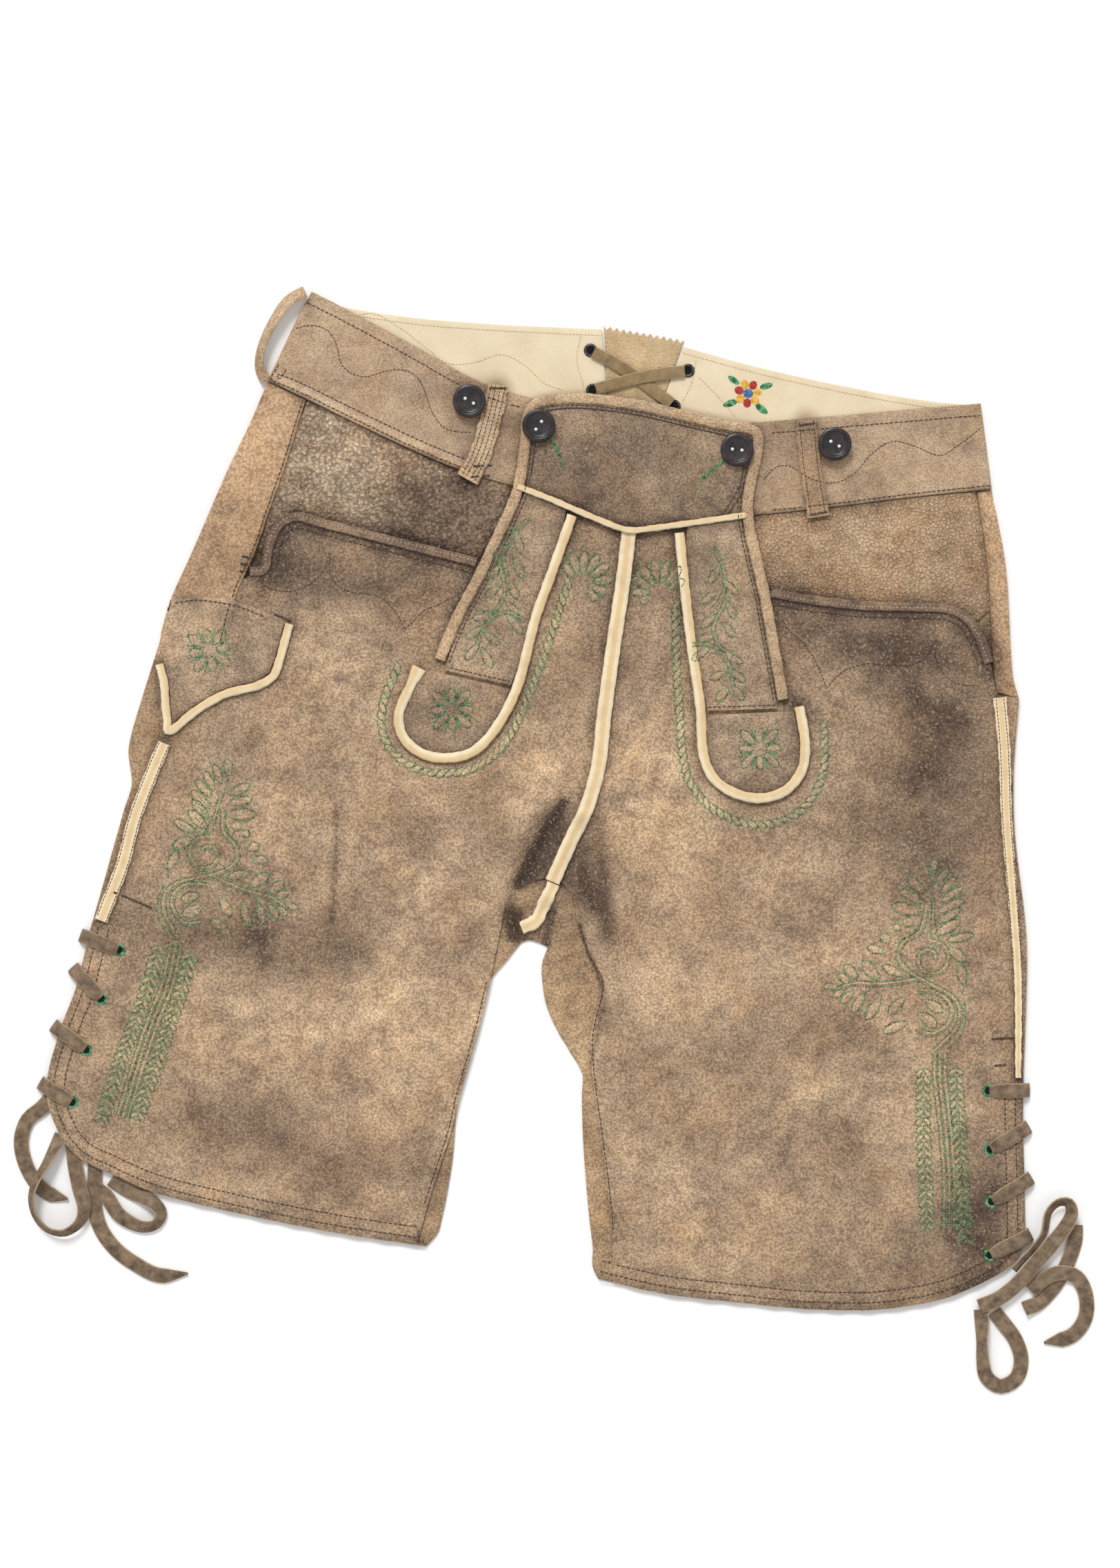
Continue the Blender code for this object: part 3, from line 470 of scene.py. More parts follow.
def edgeOf(node, start, end):
    # the stretch of a wall's edge that runs anticlockwise from near one place to near another
    rim = rimOf(node)
    first = int(np.argmin(np.linalg.norm(rim[:, :2] - np.array(start), axis=1)))
    last = int(np.argmin(np.linalg.norm(rim[:, :2] - np.array(end), axis=1)))
    if last < first:
        last += len(rim)
    return softLine([rim[i % len(rim)][:2] for i in range(first, last + 1)], 3.0)


# The end that each strip starts from, so that left and right of it stay the same
stripStarts = {
    "flap_binding": (-121, 77), "flap_piping": (-90, 199), "pocket_flap_trim": (-304, 42),
    "strap_trim_left": (-51, 187), "strap_trim_right": (119, 88), "centre_strip": (-12, 180),
    "crotch_strip": (-21, -57), "side_strip_left": (-312, -132), "side_strip_right": (305, -129),
    "pocket_welt_left": (-108, 145), "pocket_welt_right": (88, 159), "belt_loop_front_left": (-114, 262),
    "belt_loop_front_right": (91, 275),
}


def spineOf(node):
    # a CAD strip's middle line and the vectors from it to its left edge, by pairing its upper edge's points
    rim = rimOf(node)
    count = len(rim)
    half = count // 2

    def pairs(k):
        return [((k + 1 + i) % count, (k - i) % count) for i in range(half)]

    def apart(k):
        return sum(np.linalg.norm(rim[a][:2] - rim[b][:2]) for a, b in pairs(k))

    best = min(range(count), key=apart)
    right = np.array([rim[a] for a, b in pairs(best)])
    left = np.array([rim[b] for a, b in pairs(best)])
    middle, half = (left + right) / 2, (left - right) / 2
    first, last = (np.linalg.norm(middle[end][:2] - stripStarts[node]) for end in (0, -1))
    if last < first:
        middle, half = middle[::-1].copy(), -half[::-1]
    return middle, half


# Soft ridges and troughs of the front layer: line, height, reach
creases = [
    ([(-21, 0), (-32, -22), (-38, -44), (-43, -62)], -4.6, 5.5),
    ([(-34, 8), (-45, -18), (-51, -44), (-55, -68)], 3.6, 7),
    ([(-12, -8), (-20, -34), (-26, -52)], 1.2, 6),
    ([(-62, 12), (-46, 8), (-30, 14), (-20, 24)], 1.6, 7),
    ([(-72, -14), (-56, -4), (-40, 4)], -1.6, 4),
    ([(-58, 4), (-78, -8), (-104, -16)], -1.3, 8),
    ([(-50, 18), (-78, 10), (-110, 2)], 1.2, 10),
    ([(-6, -18), (4, -44), (10, -74), (18, -104)], -2.6, 8),
    ([(14, -20), (24, -52), (32, -86), (36, -120)], 1.8, 13),
    ([(-170, -36), (-167, -60), (-162, -104)], -1.0, 3.2),
    ([(-178, -34), (-174, -62), (-170, -100)], 0.8, 6),
    ([(-250, 96), (-226, 100), (-190, 92), (-150, 96)], 1.2, 16),
    ([(100, 140), (150, 128), (200, 132), (228, 110)], 1.3, 18),
    ([(150, -20), (190, -6), (236, -12)], 1.0, 16),
    ([(60, -150), (110, -164), (170, -158)], 1.1, 20),
    ([(-240, -170), (-180, -176), (-110, -170)], 1.2, 20),
    ([(-130, -230), (-176, -244), (-236, -240)], -1.0, 15),
    ([(80, -236), (150, -250), (220, -238)], -0.9, 16),
    ([(-150, 180), (-190, 190), (-230, 205)], 1.3, 14),
    ([(80, 190), (140, 200), (200, 220)], 1.5, 16),
    ([(-270, 150), (-262, 190), (-252, 226)], 1.2, 10),
    ([(-90, -60), (-96, -130), (-100, -200)], 1.3, 26),
    ([(240, 60), (256, -10), (276, -90)], 0.9, 14),
    ([(70, -60), (84, -120), (90, -220)], 1.4, 28),
    ([(-20, 262), (-20, 236), (-14, 212)], 1.6, 22),
]

hemLines = {
    "left": [(-318, -136), (-322, -190), (-328, -240), (-312, -280), (-278, -296), (-200, -307), (-68, -306)],
    "right": [(309, -131), (320, -190), (327, -240), (300, -271), (230, -299), (150, -308), (54, -309)],
}
sideSeam = [(-264, 64), (-253, 129), (-238, 231)]

# Small ripples beside the seams: line, height, wavelength, reach
puckers = [
    (hemLines["left"], 0.45, 17, 12),
    (hemLines["right"], 0.45, 19, 12),
    ([(-262, 246), (-200, 223), (-125, 204)], 0.5, 21, 10),
    ([(66, 208), (115, 221), (220, 252)], 0.45, 20, 10),
    ([(-12, 176), (-9, 106), (-5, 27), (-14, -24)], 0.4, 18, 9),
    (sideSeam, 0.4, 16, 9),
]


def liftAt(places):
    # how far the front layer stands above the CAD's plain form
    total = np.zeros(len(places))
    for line, height, reach in creases:
        total += height * np.exp(-(lineDistance(places, softLine(line, 8.0)) / reach) ** 2)
    for line, height, wave, reach in puckers:
        near = lineDistance(places, softLine(line, 10.0))
        run = places[:, 0] * 0.83 + places[:, 1] * 0.57
        total += height * np.sin(run / wave * 2 * math.pi) * np.exp(-(near / reach) ** 2)
    broad = np.sin(places[:, 0] / 47 + 1.3) * np.sin(places[:, 1] / 39 + places[:, 0] / 90)
    return total + 0.5 * broad + 0.5


def backLift(places):
    # the back layer only stands up in low ripples where it shows
    ripple = np.sin((places[:, 1] + 0.35 * places[:, 0]) / 6.5) * np.sin(places[:, 0] / 17 + 0.6)
    thigh = 0.9 * np.exp(-(lineDistance(places, [(-6, -70), (6, -130), (30, -200)]) / 22) ** 2)
    gathers = thigh * np.sin((places[:, 1] - 0.6 * places[:, 0]) / 2.3)
    lobe = 3.6 * np.exp(-(lineDistance(places, [(-45, -74), (-36, -66), (-24, -62)]) / 6.5) ** 2)
    fold = 3.2 * np.exp(-(lineDistance(places, [(-13, -66), (-9, -86), (-8, -112), (-2, -132)]) / 6.5) ** 2)
    hollow = -2.6 * np.exp(-(lineDistance(places, [(-41, -84), (-38, -92)]) / 4.5) ** 2)
    groove = -2.0 * np.exp(-(lineDistance(places, [(-20, -76), (-19, -98)]) / 2.6) ** 2)
    return np.maximum(0.0, 0.35 + 0.35 * ripple + gathers + lobe + fold + hollow + groove)


# Worn, soiled and paler patches of the hide, and painted shade at the pocket mouths, in creases near the
# crotch and along the right leg's laced edge: centre, half sizes, turn in degrees, how much lighter or darker
patches = [
    (-189, 116, 70, 15, -4, -1.0), (-238, 70, 22, 30, 0, -0.25), (-185, 64, 52, 28, 0, 0.35),
    (-160, 20, 60, 26, -10, 0.1), (-34, 4, 44, 22, 30, 0.75), (-88, -22, 40, 12, 25, -0.5),
    (-95, -66, 56, 26, 0, 0.35), (-110, -160, 95, 26, 4, 0.6), (-192, -188, 52, 22, 0, 0.4),
    (-222, -130, 62, 20, 4, -0.95), (-155, -112, 34, 22, 0, -0.4), (-130, -262, 90, 20, 0, -0.55),
    (-190, -250, 60, 18, 0, -0.35), (-90, -215, 36, 50, 0, 0.25), (-280, -190, 30, 70, 0, 0.1),
    (212, 96, 40, 56, 8, -0.95), (150, 140, 66, 18, 0, -1.0), (240, 20, 30, 60, 10, -0.5),
    (196, 16, 52, 30, 0, -0.5), (0, -58, 18, 44, 10, -0.75), (134, -146, 60, 26, 0, -0.35),
    (296, -246, 26, 46, 0, -0.9), (300, -190, 16, 60, 0, -0.5), (44, 24, 30, 42, 0, 0.6),
    (176, -66, 62, 30, 0, 0.25), (66, -104, 46, 40, 0, 0.4), (196, -164, 60, 26, 0, 0.45),
    (120, -60, 60, 24, 10, -0.3), (90, -250, 60, 26, 0, 0.15), (200, -270, 60, 18, 0, -0.2),
    (-130, 172, 40, 26, 0, -0.8), (-216, 202, 36, 26, -20, 0.8), (206, -195, 30, 34, 0, -0.35),
    (258, -262, 30, 30, 0, -0.45), (-134, 256, 16, 12, 0, -0.6), (-262, 150, 16, 30, 0, 0.3),
    (-180, 152, 70, 10, -4, -0.6),
    (-24, 228, 44, 22, 0, -0.5), (-60, 250, 26, 14, 0, 0.25), (140, 194, 60, 22, 15, 0.25),
    (100, 168, 60, 12, 0, -0.3), (-16, 110, 60, 60, 0, -0.15), (-8, 160, 60, 28, 0, -0.45),
    (-90, 130, 20, 60, 20, 0.1), (70, 130, 20, 50, -15, 0.05), (-280, 60, 30, 26, 0, 0.2),
    (-106, 45, 26, 22, 0, -0.3), (96, 55, 26, 26, 0, 0.1), (-270, 190, 20, 60, 0, 0.15),
    (-284, 130, 16, 30, 0, -0.25), (240, 190, 14, 50, 0, 0.3), (-200, 262, 60, 20, -20, 0.1),
    (160, 262, 50, 18, 15, 0.15), (-120, 236, 26, 22, 0, -0.3), (84, 240, 16, 24, 0, -0.35),
]

# Darkened lines: painted shade in creases, folds, pocket mouths and beside raised edges, darker runs along
# hems and seams, and one painted highlight: line, reach, how much darker (lighter where positive)
shadeAndToneLines = [
    # painted shade in the crotch fold and the creases beside it
    ([(-24, -2), (-33, -22), (-40, -44), (-45, -62)], 2.4, -1.4),
    ([(-23, -2), (-31, -22), (-38, -44), (-42, -60)], 4.6, -1.1),
    ([(-24, -16), (-30, -36), (-35, -54)], 7.5, -0.9),
    ([(2, -10), (8, -34), (15, -58), (20, -84)], 6.0, -0.7),
    ([(-3, -30), (-1, -48), (8, -66)], 5.0, -0.5),
    # painted shade in the back layer's groove, beside its lobe and along the right inseam's edge
    ([(-19, -74), (-19, -98)], 2.6, -1.4),
    ([(-46, -70), (-48, -82), (-44, -96)], 3.0, -0.9),
    ([(0, -80), (10, -98), (23, -116), (26, -140), (24, -168)], 1.4, -0.9),
    # painted shade in and below the pocket mouths
    ([(-246, 118), (-242, 136), (-229, 151), (-161, 147), (-108, 143)], 8.0, -0.75),
    ([(88, 158), (147, 160), (206, 167), (229, 153), (241, 136)], 8.0, -0.7),
    ([(-244, 112), (-236, 126), (-215, 138), (-160, 134), (-112, 128)], 11.0, -0.4),
    # painted shade in the crease on the left leg and in the hollow at the crotch
    ([(-171, -34), (-166, -62), (-161, -106)], 1.4, -0.9),
    ([(-42, -82), (-38, -93)], 5.5, -2.0),
    (hemLines["left"], 3.0, -0.35),
    (hemLines["right"], 3.5, -0.4),
    # a painted shadow under the left waistband's lower edge and a painted highlight on that edge
    ([(-262, 238.5), (-200, 219.5), (-125, 201.5)], 1.8, -0.9),
    ([(-263, 243.5), (-201, 224.5), (-126, 206.5)], 2.4, 0.7),
    ([(66, 206), (115, 220), (220, 251)], 2.6, -0.6),
    (sideSeam, 2.0, -0.4),
    ([(211, 249), (226, 201), (243, 132)], 2.4, -0.5),
]
# painted shade on the leather beside each raised cream strip, binding and belt loop
trimNodes = ["strap_trim_left", "strap_trim_right", "centre_strip", "side_strip_left", "side_strip_right",
             "pocket_flap_trim", "flap_binding", "flap_piping", "belt_loop_front_left",
             "belt_loop_front_right"]
for node in trimNodes:
    middle, half = spineOf(node)
    shadeAndToneLines.append((middle[:, :2], float(np.linalg.norm(half[0][:2])) + 2.6, -0.85))


# the tone at each place: patches of the hide, darker runs and painted shade in creases, pocket mouths and
# beside raised edges
def toneAt(places, base):
    total = np.full(len(places), float(base))
    for x, y, wide, tall, turn, amount in patches:
        angle = math.radians(turn)
        dx, dy = places[:, 0] - x, places[:, 1] - y
        u = (dx * math.cos(angle) + dy * math.sin(angle)) / wide
        v = (dy * math.cos(angle) - dx * math.sin(angle)) / tall
        total += 0.85 * amount * np.exp(-(u * u + v * v))
    for line, reach, amount in shadeAndToneLines:
        total += amount * np.exp(-(lineDistance(places, line) / reach) ** 2)
    return np.clip(total, -2.0, 1.0)


def meshObject(name, points, faces, look, smoothAngle=50):
    mesh = bpy.data.meshes.new(name)
    mesh.from_pydata([framePoint(p) for p in points], [], faces)
    mesh.materials.append(looks[look])
    obj = bpy.data.objects.new(name, mesh)
    bpy.context.scene.collection.objects.link(obj)
    mesh.shade_smooth()
    mesh.set_sharp_from_angle(angle=math.radians(smoothAngle))
    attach(obj, "root")
    return obj


def toneLayer(obj, values):
    # how light or dark each point of a piece is: wear, soiling and painted shade
    layer = obj.data.attributes.new("tone", "FLOAT", "POINT")
    layer.data.foreach_set("value", np.asarray(values, np.float32))


def tube(name, points, uvs, size, look, smoothAngle):
    # a closed solid from equal sections of so many points, with its own map
    count = len(points) // size
    faces = []
    for i in range(count - 1):
        for k in range(size):
            a, b = i * size + k, i * size + (k + 1) % size
            faces.append((a, b, b + size, a + size))
    faces.append(tuple(range(size - 1, -1, -1)))
    faces.append(tuple(range((count - 1) * size, count * size)))
    obj = meshObject(name, points, faces, look, smoothAngle)
    mesh = bmesh.new()
    mesh.from_mesh(obj.data)
    bmesh.ops.recalc_face_normals(mesh, faces=mesh.faces)
    layer = mesh.loops.layers.uv.new("strip")
    for face in mesh.faces:
        for loop in face.loops:
            loop[layer].uv = uvs[loop.vert.index]
    mesh.to_mesh(obj.data)
    mesh.free()
    return obj


def smallestBox(outline):
    # width, length and area of the cut, from the tightest box round its outline
    best = None
    for degrees in range(0, 90, 2):
        a = math.radians(degrees)
        turned = outline[:, :2] @ np.array([[math.cos(a), -math.sin(a)], [math.sin(a), math.cos(a)]])
        width, length = np.ptp(turned, axis=0)
        if best is None or width * length < best[0] * best[1]:
            best = (width, length)
    x, y = outline[:, 0], outline[:, 1]
    area = abs(np.sum(x * np.roll(y, -1) - y * np.roll(x, -1))) / 2
    return min(best) * mm, max(best) * mm, area * mm * mm


def refined(outline, step, sharp=32):
    # the CAD's edge with rounded runs between its corners
    count = len(outline)
    before = outline - np.roll(outline, 1, axis=0)
    after = np.roll(outline, -1, axis=0) - outline
    turn = np.degrees(np.abs(np.arctan2(before[:, 0] * after[:, 1] - before[:, 1] * after[:, 0],
                                        np.sum(before * after, axis=1))))
    corners = [i for i in range(count) if turn[i] > sharp] or [0]
    found = []
    for first, last in zip(corners, corners[1:] + [corners[0] + count]):
        run = [outline[i % count] for i in range(first, last + 1)]
        found += list(evenly(softLine(run, step), step)[:-1])
    return np.array(found)


sheetSizes = {}


def cloth(node, look, thickness, spacing=3.3, lift=liftAt, base=0.0, restsOn=(), shape=None, least=1.95,
          rolled=0.45):
    # one leather panel: the CAD wall's outline filled with a fine net, creased, and closed below
    rim = refined(rimOf(node)[:, :2], 2.6)
    if shape:
        rim = shape(rim)
    low, high = rim.min(0), rim.max(0)
    rows = int((high[1] - low[1]) / (spacing * 0.87)) + 2
    columns = int((high[0] - low[0]) / spacing) + 2
    grid = np.array([(low[0] + (c + r % 2 * 0.5) * spacing, low[1] + r * spacing * 0.87)
                     for r in range(rows) for c in range(columns)])
    loop = np.vstack([rim, rim[:1]])
    ring = beside(loop, 0.9)[:-1]
    grid = grid[insideOf(grid, rim)]
    grid = grid[lineDistance(grid, loop) > 0.62 * spacing]
    ring = ring[insideOf(ring, rim)]
    ring = ring[lineDistance(ring, loop) > 0.75]
    places = np.vstack([rim, ring, grid])
    corners = len(rim)
    net = delaunay_2d_cdt([Vector(p) for p in places], [], [list(range(corners))], 1, 0.01)
    where, triangles = net[0], net[2]
    places = np.array([tuple(p) for p in where])
    solid = mergedCopy(node)
    tree = BVHTree.FromBMesh(solid)
    heights = []
    middle = places.mean(0)
    for p in places:
        hit = tree.ray_cast(framePoint((*p, 60)), Vector((0, 0, -1)))[0]
        if hit is None:
            near = tree.find_nearest(framePoint((*p, 12)))[0]
            hit = tree.ray_cast(Vector((near.x, near.y, 0.06)) + (framePoint((*middle, 0)) - near) * 0.002,
                                Vector((0, 0, -1)))[0] or near
        heights.append(hit.z / mm)
    solid.free()
    heights = np.array(heights)
    triangles = np.array(triangles)
    links = np.vstack([triangles[:, [0, 1]], triangles[:, [1, 2]], triangles[:, [2, 0]]])
    links = np.vstack([links, links[:, ::-1]])
    share = np.bincount(links[:, 0], minlength=len(places))
    for _ in range(30):
        mean = np.bincount(links[:, 0], heights[links[:, 1]], minlength=len(places)) / np.maximum(share, 1)
        heights = heights * 0.4 + mean * 0.6
    heights = heights + lift(places)
    heights = np.maximum(heights, least + thickness)
    edge = lineDistance(places, loop) < 0.05
    top = heights - edge * rolled
    bottom = heights - thickness + edge * rolled * 0.6
    count = len(places)
    points = np.vstack([np.column_stack([places, top]), np.column_stack([places, bottom])])
    faces, border = [], {}
    for a, b, c in triangles:
        if np.cross(places[b] - places[a], places[c] - places[a]) < 0:
            b, c = c, b
        faces += [(a, b, c), (a + count, c + count, b + count)]
        for pair in ((a, b), (b, c), (c, a)):
            border[pair] = True
    faces += [(b, a, a + count, b + count) for a, b in border if (b, a) not in border]
    faces = [tuple(int(i) for i in face) for face in faces]
    obj = meshObject(node + "_leather", points, faces, look, 60)
    toneLayer(obj, np.tile(toneAt(places, base), 2))
    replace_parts(obj, node)
    width, length, area = smallestBox(rim)
    sheetSizes[node] = tuple(round(float(value), 5) for value in (width, length, area))


# the free ends of the two leg laces: flat cords, whose routes run as in the CAD
laceSet = {"width": 10.0, "thick": 1.4, "step": 4.0, "lean": 0.72}
freeLaces = {
    "free_lace_left_outer": ("bare", [
        (-325.5, -255, 0.9, 8), (-330, -262, 1.2, 8), (-337.5, -271, 1.2, 5),
        (-339.5, -285, 1.2, 5), (-334.5, -299, 1.2, 0),
        (-326, -310, 1.2, 0), (-316, -316.5, 1.2, 6), (-302, -318, 1.6, 16)]),
    "free_lace_left_loop": ("object", [
        (-313.5, -277, 1.6, 14), (-316.5, -287, 4.0, 50), (-320, -298, 6.5, 75),
        (-324, -309, 7.8, 82), (-325.5, -320, 7.8, 85),
        (-321, -332, 7, 85), (-311, -340, 6.6, 85), (-300, -340, 7, 80), (-291.5, -332, 7.6, 70),
        (-290, -321, 6.4, 40), (-295.5, -309, 4.2, 12), (-300.5, -297, 2.4, 0),
        (-303.5, -288, 1.2, 0), (-305.5, -279, 0.9, 0)]),
    "free_lace_left_tail": ("bare", [
        (-288.5, -290, 0.9, 0), (-287.5, -297, 1.2, 0), (-286, -308, 1.2, 0),
        (-283.5, -321, 1.2, 0), (-277, -334, 1.2, 0),
        (-265, -345.5, 1.2, 0), (-250, -353, 1.2, 0), (-234, -357.5, 1.2, 0), (-215, -353, 1.2, 0)]),
    "free_lace_left_inner": ("bare", [
        (-276, -300, 0.9, 0), (-264, -305.5, 1.0, 0), (-253, -307.8, 2.2, -20), (-243.5, -311.6, 4.4, -48),
        (-239, -317.1, 5, -60), (-241, -323.6, 5, -60), (-249, -327.1, 4.4, -44),
        (-259, -325.6, 3.4, -24), (-268, -321.1, 3.2, -6), (-276, -312.4, 3.2, 0),
        (-282, -306.9, 3.2, 0), (-287.5, -300.5, 2.0, 0)]),
    "free_lace_right_bow": ("knot", [
        (324, -255, 6.4, 75), (329, -247, 6.4, 78), (334.5, -238.5, 6.4, 80), (339.5, -228, 6.4, 80),
        (340, -214, 6.6, 76), (345, -206, 7, 72), (352, -204.5, 7, 66), (355.5, -211, 6.8, 55),
        (352.5, -222, 6.2, 36), (346, -234, 5.8, 14), (338.5, -246.5, 5.6, 0), (330, -261, 5.6, 0),
        (318, -275, 5.6, 0), (306, -283, 4.4, 0)]),
    "free_lace_right_back": ("knot", [
        (360, -219, 1.4, 8), (361.5, -230, 1.2, 0), (359, -245, 1.2, 0), (354, -260, 1.2, 0),
        (346, -273, 1.2, 0), (336, -279.5, 2.4, 30)]),
    "free_lace_right_tail": ("bare", [
        (338, -267, 2.9, 0), (346, -257, 3.2, 0), (356, -251.5, 3.4, 0), (367, -253, 2.4, 0),
        (375, -264, 1.4, 0), (377, -279, 1.2, 0), (370, -292, 1.2, 0), (353, -299.5, 1.2, 0)]),
    "free_lace_right_loop": ("knot", [
        (308, -285, 1.6, 10), (310, -294, 3.0, 34), (312, -306, 5.4, 65), (315, -319, 4.6, 45),
        (320, -329, 2.6, 15),
        (330, -333, 1.2, 0), (339, -326, 1.2, 0), (340, -313, 1.2, 0), (334, -301, 1.2, 0),
        (325, -292, 1.6, 5), (317, -285, 1.2, 0)]),
}


def band(name, route, width, thick, look, slot, step, ends=None, ragged=0.0):
    # a flat lace along a route of places and tilts; its section is a rounded oblong of ten points
    path = softLine(route, step)
    section = [(-1, 0), (-0.94, 0.7), (-0.7, 1), (0, 1.12), (0.7, 1), (0.94, 0.7), (1, 0), (0.9, -0.8),
               (0, -1), (-0.9, -0.8)]
    points, centres, uvs = [], [], []
    far = 0.0
    for index, (x, y, z, tilt) in enumerate(path):
        ahead, behind = path[min(index + 1, len(path) - 1)][:3], path[max(index - 1, 0)][:3]
        along = Vector(ahead - behind).normalized()
        level = Vector((-along.y, along.x, 0)).normalized()
        turn = math.radians(tilt)
        across = level * math.cos(turn) + along.cross(level) * math.sin(turn)
        face = along.cross(across).normalized()
        reach = width / 2 * abs(across.z) + thick / 2 * 1.12 * abs(face.z)
        place = Vector((x, y, max(z, reach + 0.1)))
        share = index / (len(path) - 1)
        wide = width * (1 + ragged * math.sin(index * 1.7 + x * 0.3))
        if ends:
            wide *= ends(share)
        centres.append(place)
        far += 0 if index == 0 else (place - centres[-2]).length
        for u, v in section:
            points.append(place + across * (wide / 2 * u) + face * (thick / 2 * v))
            uvs.append((0.5 + u / 2, far * mm))
    obj = tube(name, points, uvs, len(section), look, 60)
    return obj, centres, far * mm


def laceTip(share):
    # a free end is cut to a point
    return min(1.0, 0.14 + (1.0 - share) / 0.13)


for node, (farEnd, route) in freeLaces.items():
    route = [(x, y, z, tilt * laceSet["lean"]) for x, y, z, tilt in route]
    obj, centres, length = band(node + "_suede", route, laceSet["width"], laceSet["thick"], "lace",
                                "lace_leather", laceSet["step"], ends=laceTip if farEnd == "bare" else None)
    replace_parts(obj, node)
    points = [tuple(framePoint(p)) for p in centres]
    print("lace", node, round(length * 1000), "mm")

pinked = {"top": 315.0, "depth": 3.0, "pitch": 4.2}


def pinkedTop(rim):
    # the gusset's upper edge is cut in teeth
    left, right = rim[:, 0].min(), rim[:, 0].max()
    keep = [p for p in rim if p[1] < pinked["top"] - 0.8]
    split = max(range(len(keep)), key=lambda i: np.linalg.norm(keep[i] - keep[(i + 1) % len(keep)]))
    keep = keep[split + 1:] + keep[:split + 1]
    count = int((right - left) / pinked["pitch"])
    teeth = []
    for k in range(2 * count + 1):
        x = left + (right - left) * k / (2 * count)
        teeth.append(np.array((x, pinked["top"] - (pinked["depth"] if k % 2 else 0.2))))
    if keep[-1][0] > keep[0][0]:
        teeth = teeth[::-1]
    return np.array(keep + teeth)


def liningLift(places):
    return np.maximum(0.0, 0.3 + 0.5 * np.sin(places[:, 0] / 9.0 + places[:, 1] / 15) *
                      np.sin(places[:, 1] / 8.0))


def gussetLift(places):
    pleats = np.exp(-((places[:, 0] + 24 - (places[:, 1] - 284) * 0.1) / 3.0) ** 2) * 1.2
    return pleats + 0.3 * np.maximum(0, np.sin(places[:, 0] / 2.6))


cloth("back_panel_left", "suedeBack", 1.6, 4.0, backLift, 0.0, least=0.0)
cloth("back_panel_right", "suedeBack", 1.6, 4.0, backLift, 0.1, least=0.0)
for side in ("left", "right"):
    cloth("waistband_back_" + side, "lining", 1.6, 3.4, liningLift, 0.15, least=0.0)
cloth("back_gusset", "gusset", 1.6, 2.4, gussetLift, 0.0, shape=pinkedTop, least=0.0)
print("back layer made")
cloth("front_panel_left", "suede", 1.6, 3.1, restsOn=["back_panel_left"])
cloth("front_panel_right", "suede", 1.6, 3.1, restsOn=["back_panel_right"])
cloth("side_panel_left", "sideLeather", 1.6, 3.3, restsOn=["back_panel_left"])
cloth("side_panel_right", "sideLeather", 1.6, 3.3, restsOn=["back_panel_right"])
cloth("hip_facing_left", "grainLeather", 1.0, 3.0, base=-0.05, restsOn=["back_panel_left"])
cloth("hip_facing_right", "tanGrain", 1.0, 3.0, base=0.2, restsOn=["back_panel_right"])
for side in ("left", "right"):
    cloth("waistband_front_" + side, "bandLeather", 2.4, 3.1, restsOn=["back_panel_" + side],
          rolled=0.8)
print("front layer made")
cloth("fall_flap", "overlayLeather", 1.5, 3.0,
      restsOn=["waistband_front_left", "waistband_front_right"])
for side in ("left", "right"):
    panelNode = "front_panel_" + side
    cloth("strap_" + side, "overlayLeather", 1.5, 2.8, base=0.35, restsOn=[panelNode])
    cloth("tongue_" + side, "overlayLeather", 1.5, 2.6, base=0.2, restsOn=[panelNode])
cloth("pocket_flap", "overlayLeather", 1.5, 2.6, base=0.4, restsOn=["side_panel_left"])
print("flap, straps and pocket flap made")

profiles = {   # from the left foot over the top to the right foot: across, up
    "split": [(-1, 0.0), (-1.0, 0.6), (-0.9, 0.86), (-0.6, 1.0), (-0.2, 0.98), (0.2, 0.98), (0.6, 1.0),
              (0.9, 0.86), (1.0, 0.6), (1, 0.0)],
    "rolled": [(-1, 0.0), (-1.06, 0.42), (-0.92, 0.82), (-0.55, 1.12), (0.0, 1.24), (0.55, 1.12),
               (0.92, 0.82), (1.06, 0.42), (1, 0.0)],
    "turned": [(-1, 0.0), (-1.02, 0.5), (-0.86, 0.95), (-0.64, 1.04), (-0.4, 0.9), (0.4, 0.9),
               (0.64, 1.04), (0.86, 0.95), (1.02, 0.5), (1, 0.0)],
}


def strip(node, look, thick, profile="split", step=2.4, widen=0.0, ragged=0.12, lift=liftAt,
          suffix="_trim", reach=(0.0, 0.0), tone=0.25):
    # reach lengthens its first and last end
    middle, half = spineOf(node)
    wide = np.linalg.norm(half[:, :2], axis=1)
    for end, inner, extra in ((0, 1, reach[0]), (-1, -2, reach[1])):
        way = middle[end] - middle[inner]
        middle[end] = middle[end] + way / np.linalg.norm(way) * extra
    line = softLine(np.column_stack([middle, wide]), step)
    along = np.gradient(line[:, :2], axis=0)
    along /= np.maximum(np.linalg.norm(along, axis=1, keepdims=True), 1e-9)
    side = np.stack([-along[:, 1], along[:, 0]], 1)
    flatHeight = line[:, 2]
    for _ in range(6):
        flatHeight = np.convolve(np.pad(flatHeight, 2, mode="edge"), np.ones(5) / 5, "valid")
    section = profiles[profile]
    points, uvs = [], []
    far = np.concatenate([[0], np.cumsum(np.linalg.norm(np.diff(line[:, :2], axis=0), axis=1))])
    for u, v in section:
        wobble = ragged * (np.sin(far * 0.9 + u) + np.sin(far * 0.37 + 3 * u)) * abs(u)
        places = line[:, :2] + side * ((line[:, 3] + widen + wobble) * u * -1)[:, None]
        heights = flatHeight - thick + lift(places) + thick * v
        points.append(np.column_stack([places, heights]))
        uvs.append(np.column_stack([np.full(len(line), 0.5 + u / 2), far * mm]))
    points = np.stack(points, 1).reshape(-1, 3)
    uvs = np.stack(uvs, 1).reshape(-1, 2)
    obj = tube(node + suffix, points, uvs, len(section), look, 55)
    toneLayer(obj, np.full(len(points), tone))
    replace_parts(obj, node)


